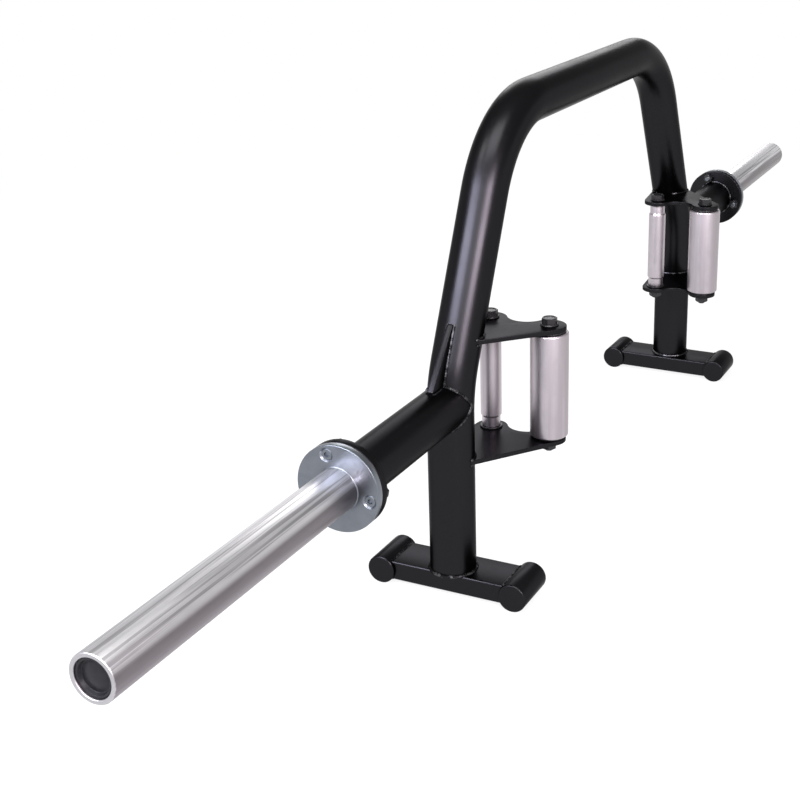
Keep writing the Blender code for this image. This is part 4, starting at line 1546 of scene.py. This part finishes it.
# Name, azimuth and elevation in degrees, width, height, power and colour of each lamp
LAMPS = (
    ("cool_window", 250, 29, 1.9, 0.9, 122, (0.84, 0.85, 1.0)),
    ("warm_window", 317, 25, 1.35, 0.9, 110, (1.0, 0.89, 0.96)),
    ("front_panel", 285, 30, 1.9, 1.0, 34, (0.95, 0.93, 1.0)),
    ("overhead", 290, 69, 2.2, 1.6, 72, (1.0, 1.0, 0.98)),
    ("side_card", 227, 53, 0.9, 0.8, 20, (1.0, 1.0, 0.97)),
    ("back_panel", 116, 24, 1.7, 1.2, 30, (1.0, 0.99, 1.0)),
)

# Width of the camera's sensor in millimetres
SENSOR = 36


def way_to(azimuth, elevation):
    """Direction seen from the bar, the azimuth counted from -Y towards +X."""
    level = math.cos(elevation)
    return Vector((math.sin(azimuth) * level, -math.cos(azimuth) * level, math.sin(elevation)))


class TRAPBAR_OT_stage(Operator):
    """Set the floor, the plain light and the camera"""

    bl_idname = "trapbar.stage"
    bl_label = "Stage"

    def execute(self, context):
        stage = context.scene.trapbar_stage
        self.make_floor(stage)
        self.make_world(context.scene, stage)
        self.make_lamps(context.scene)
        self.make_camera(context.scene, stage)
        context.scene.view_settings.view_transform = "Standard"
        return {"FINISHED"}

    def make_floor(self, stage):
        """A wide floor, and a low wall far off that carries its white past the horizon."""
        paper = mix_paper(stage)
        choose()
        bpy.ops.mesh.primitive_plane_add(size=4 * stage.wall_away, location=(0, 0, 0))
        floor = settle("floor")
        bpy.ops.mesh.primitive_cylinder_add(
            vertices=DISC_SIDES, radius=stage.wall_away, depth=stage.wall_height,
            location=(0, 0, stage.wall_height / 2), end_fill_type="NOTHING",
        )
        backdrop = settle("backdrop")
        for piece in (floor, backdrop):
            piece.data.materials.append(paper)

    def make_world(self, scene, stage):
        """Even white light from all round."""
        world = bpy.data.worlds.new("plain_light")
        world.use_nodes = True
        background = world.node_tree.nodes["Background"]
        background.inputs["Color"].default_value = (1.0, 1.0, 1.0, 1.0)
        background.inputs["Strength"].default_value = stage.world
        scene.world = world

    def make_lamps(self, scene):
        """Broad soft lamps, as in a studio, that the camera doesn't see."""
        for name, azimuth, elevation, width, height, power, colour in LAMPS:
            data = bpy.data.lights.new(name, "AREA")
            data.shape = "RECTANGLE"
            data.size = width
            data.size_y = height
            data.energy = power
            data.color = colour
            lamp = bpy.data.objects.new(name, data)
            scene.collection.objects.link(lamp)
            way = way_to(math.radians(azimuth), math.radians(elevation))
            lamp.location = LAMP_AIM + way * LAMP_AWAY
            lamp.rotation_euler = way.to_track_quat("Z", "Y").to_euler()
            lamp.visible_camera = False

    def make_camera(self, scene, stage):
        """The camera at the photograph's angle."""
        back = way_to(stage.azimuth, stage.elevation)
        across = Vector((math.cos(stage.azimuth), math.sin(stage.azimuth), 0))
        above = back.cross(across)
        right = across * math.cos(stage.roll) + above * math.sin(stage.roll)
        top = above * math.cos(stage.roll) - across * math.sin(stage.roll)
        data = bpy.data.cameras.new("camera")
        data.sensor_width = SENSOR
        data.lens = stage.lens
        data.shift_x = stage.shift_x
        data.shift_y = stage.shift_y
        camera = bpy.data.objects.new("camera", data)
        scene.collection.objects.link(camera)
        turn = Matrix((right, top, back)).transposed().to_4x4()
        spot = Vector(stage.target) + back * stage.distance
        camera.matrix_world = Matrix.Translation(spot) @ turn
        scene.camera = camera


class TRAPBAR_PT_panel(Panel):
    """Lists the trap bar's sizes, colours and steps"""

    bl_label = "Trap bar"
    bl_idname = "TRAPBAR_PT_panel"
    bl_space_type = "VIEW_3D"
    bl_region_type = "UI"
    bl_category = "Trap bar"

    def draw(self, context):
        layout = self.layout
        for step in STEPS:
            layout.operator(step.bl_idname)
        for name, group in GROUPS.items():
            box = layout.box()
            box.label(text=group.__name__)
            values = getattr(context.scene, name)
            for size in group.__annotations__:
                box.prop(values, size)


GROUPS = {
    "trapbar_tube": TubeSizes,
    "trapbar_sleeve": SleeveSizes,
    "trapbar_fasteners": FastenerSizes,
    "trapbar_feet": FootSizes,
    "trapbar_grips": GripSizes,
    "trapbar_welds": WeldSizes,
    "trapbar_colours": Colours,
    "trapbar_stage": StageSizes,
}
STEPS = (
    TRAPBAR_OT_finishes,
    TRAPBAR_OT_arch,
    TRAPBAR_OT_stubs,
    TRAPBAR_OT_flanges,
    TRAPBAR_OT_flange_fasteners,
    TRAPBAR_OT_sleeves,
    TRAPBAR_OT_feet,
    TRAPBAR_OT_plates,
    TRAPBAR_OT_grips,
    TRAPBAR_OT_grip_fasteners,
    TRAPBAR_OT_welds,
    TRAPBAR_OT_stage,
)


def register():
    """Registers the classes and hangs the sizes on the scene."""
    for group in GROUPS.values():
        bpy.utils.register_class(group)
    for step in STEPS:
        bpy.utils.register_class(step)
    bpy.utils.register_class(TRAPBAR_PT_panel)
    for name, group in GROUPS.items():
        setattr(bpy.types.Scene, name, PointerProperty(type=group))


def unregister():
    """Takes the sizes and the classes away again."""
    for name in GROUPS:
        delattr(bpy.types.Scene, name)
    bpy.utils.unregister_class(TRAPBAR_PT_panel)
    for step in reversed(STEPS):
        bpy.utils.unregister_class(step)
    for group in reversed(GROUPS.values()):
        bpy.utils.unregister_class(group)


def main():
    """Builds everything in order."""
    register()
    bpy.ops.trapbar.finishes()
    bpy.ops.trapbar.arch()
    bpy.ops.trapbar.stubs()
    bpy.ops.trapbar.flanges()
    bpy.ops.trapbar.flange_fasteners()
    bpy.ops.trapbar.sleeves()
    bpy.ops.trapbar.feet()
    bpy.ops.trapbar.plates()
    bpy.ops.trapbar.grips()
    bpy.ops.trapbar.grip_fasteners()
    bpy.ops.trapbar.welds()
    bpy.ops.trapbar.stage()


if __name__ == "__main__":
    main()
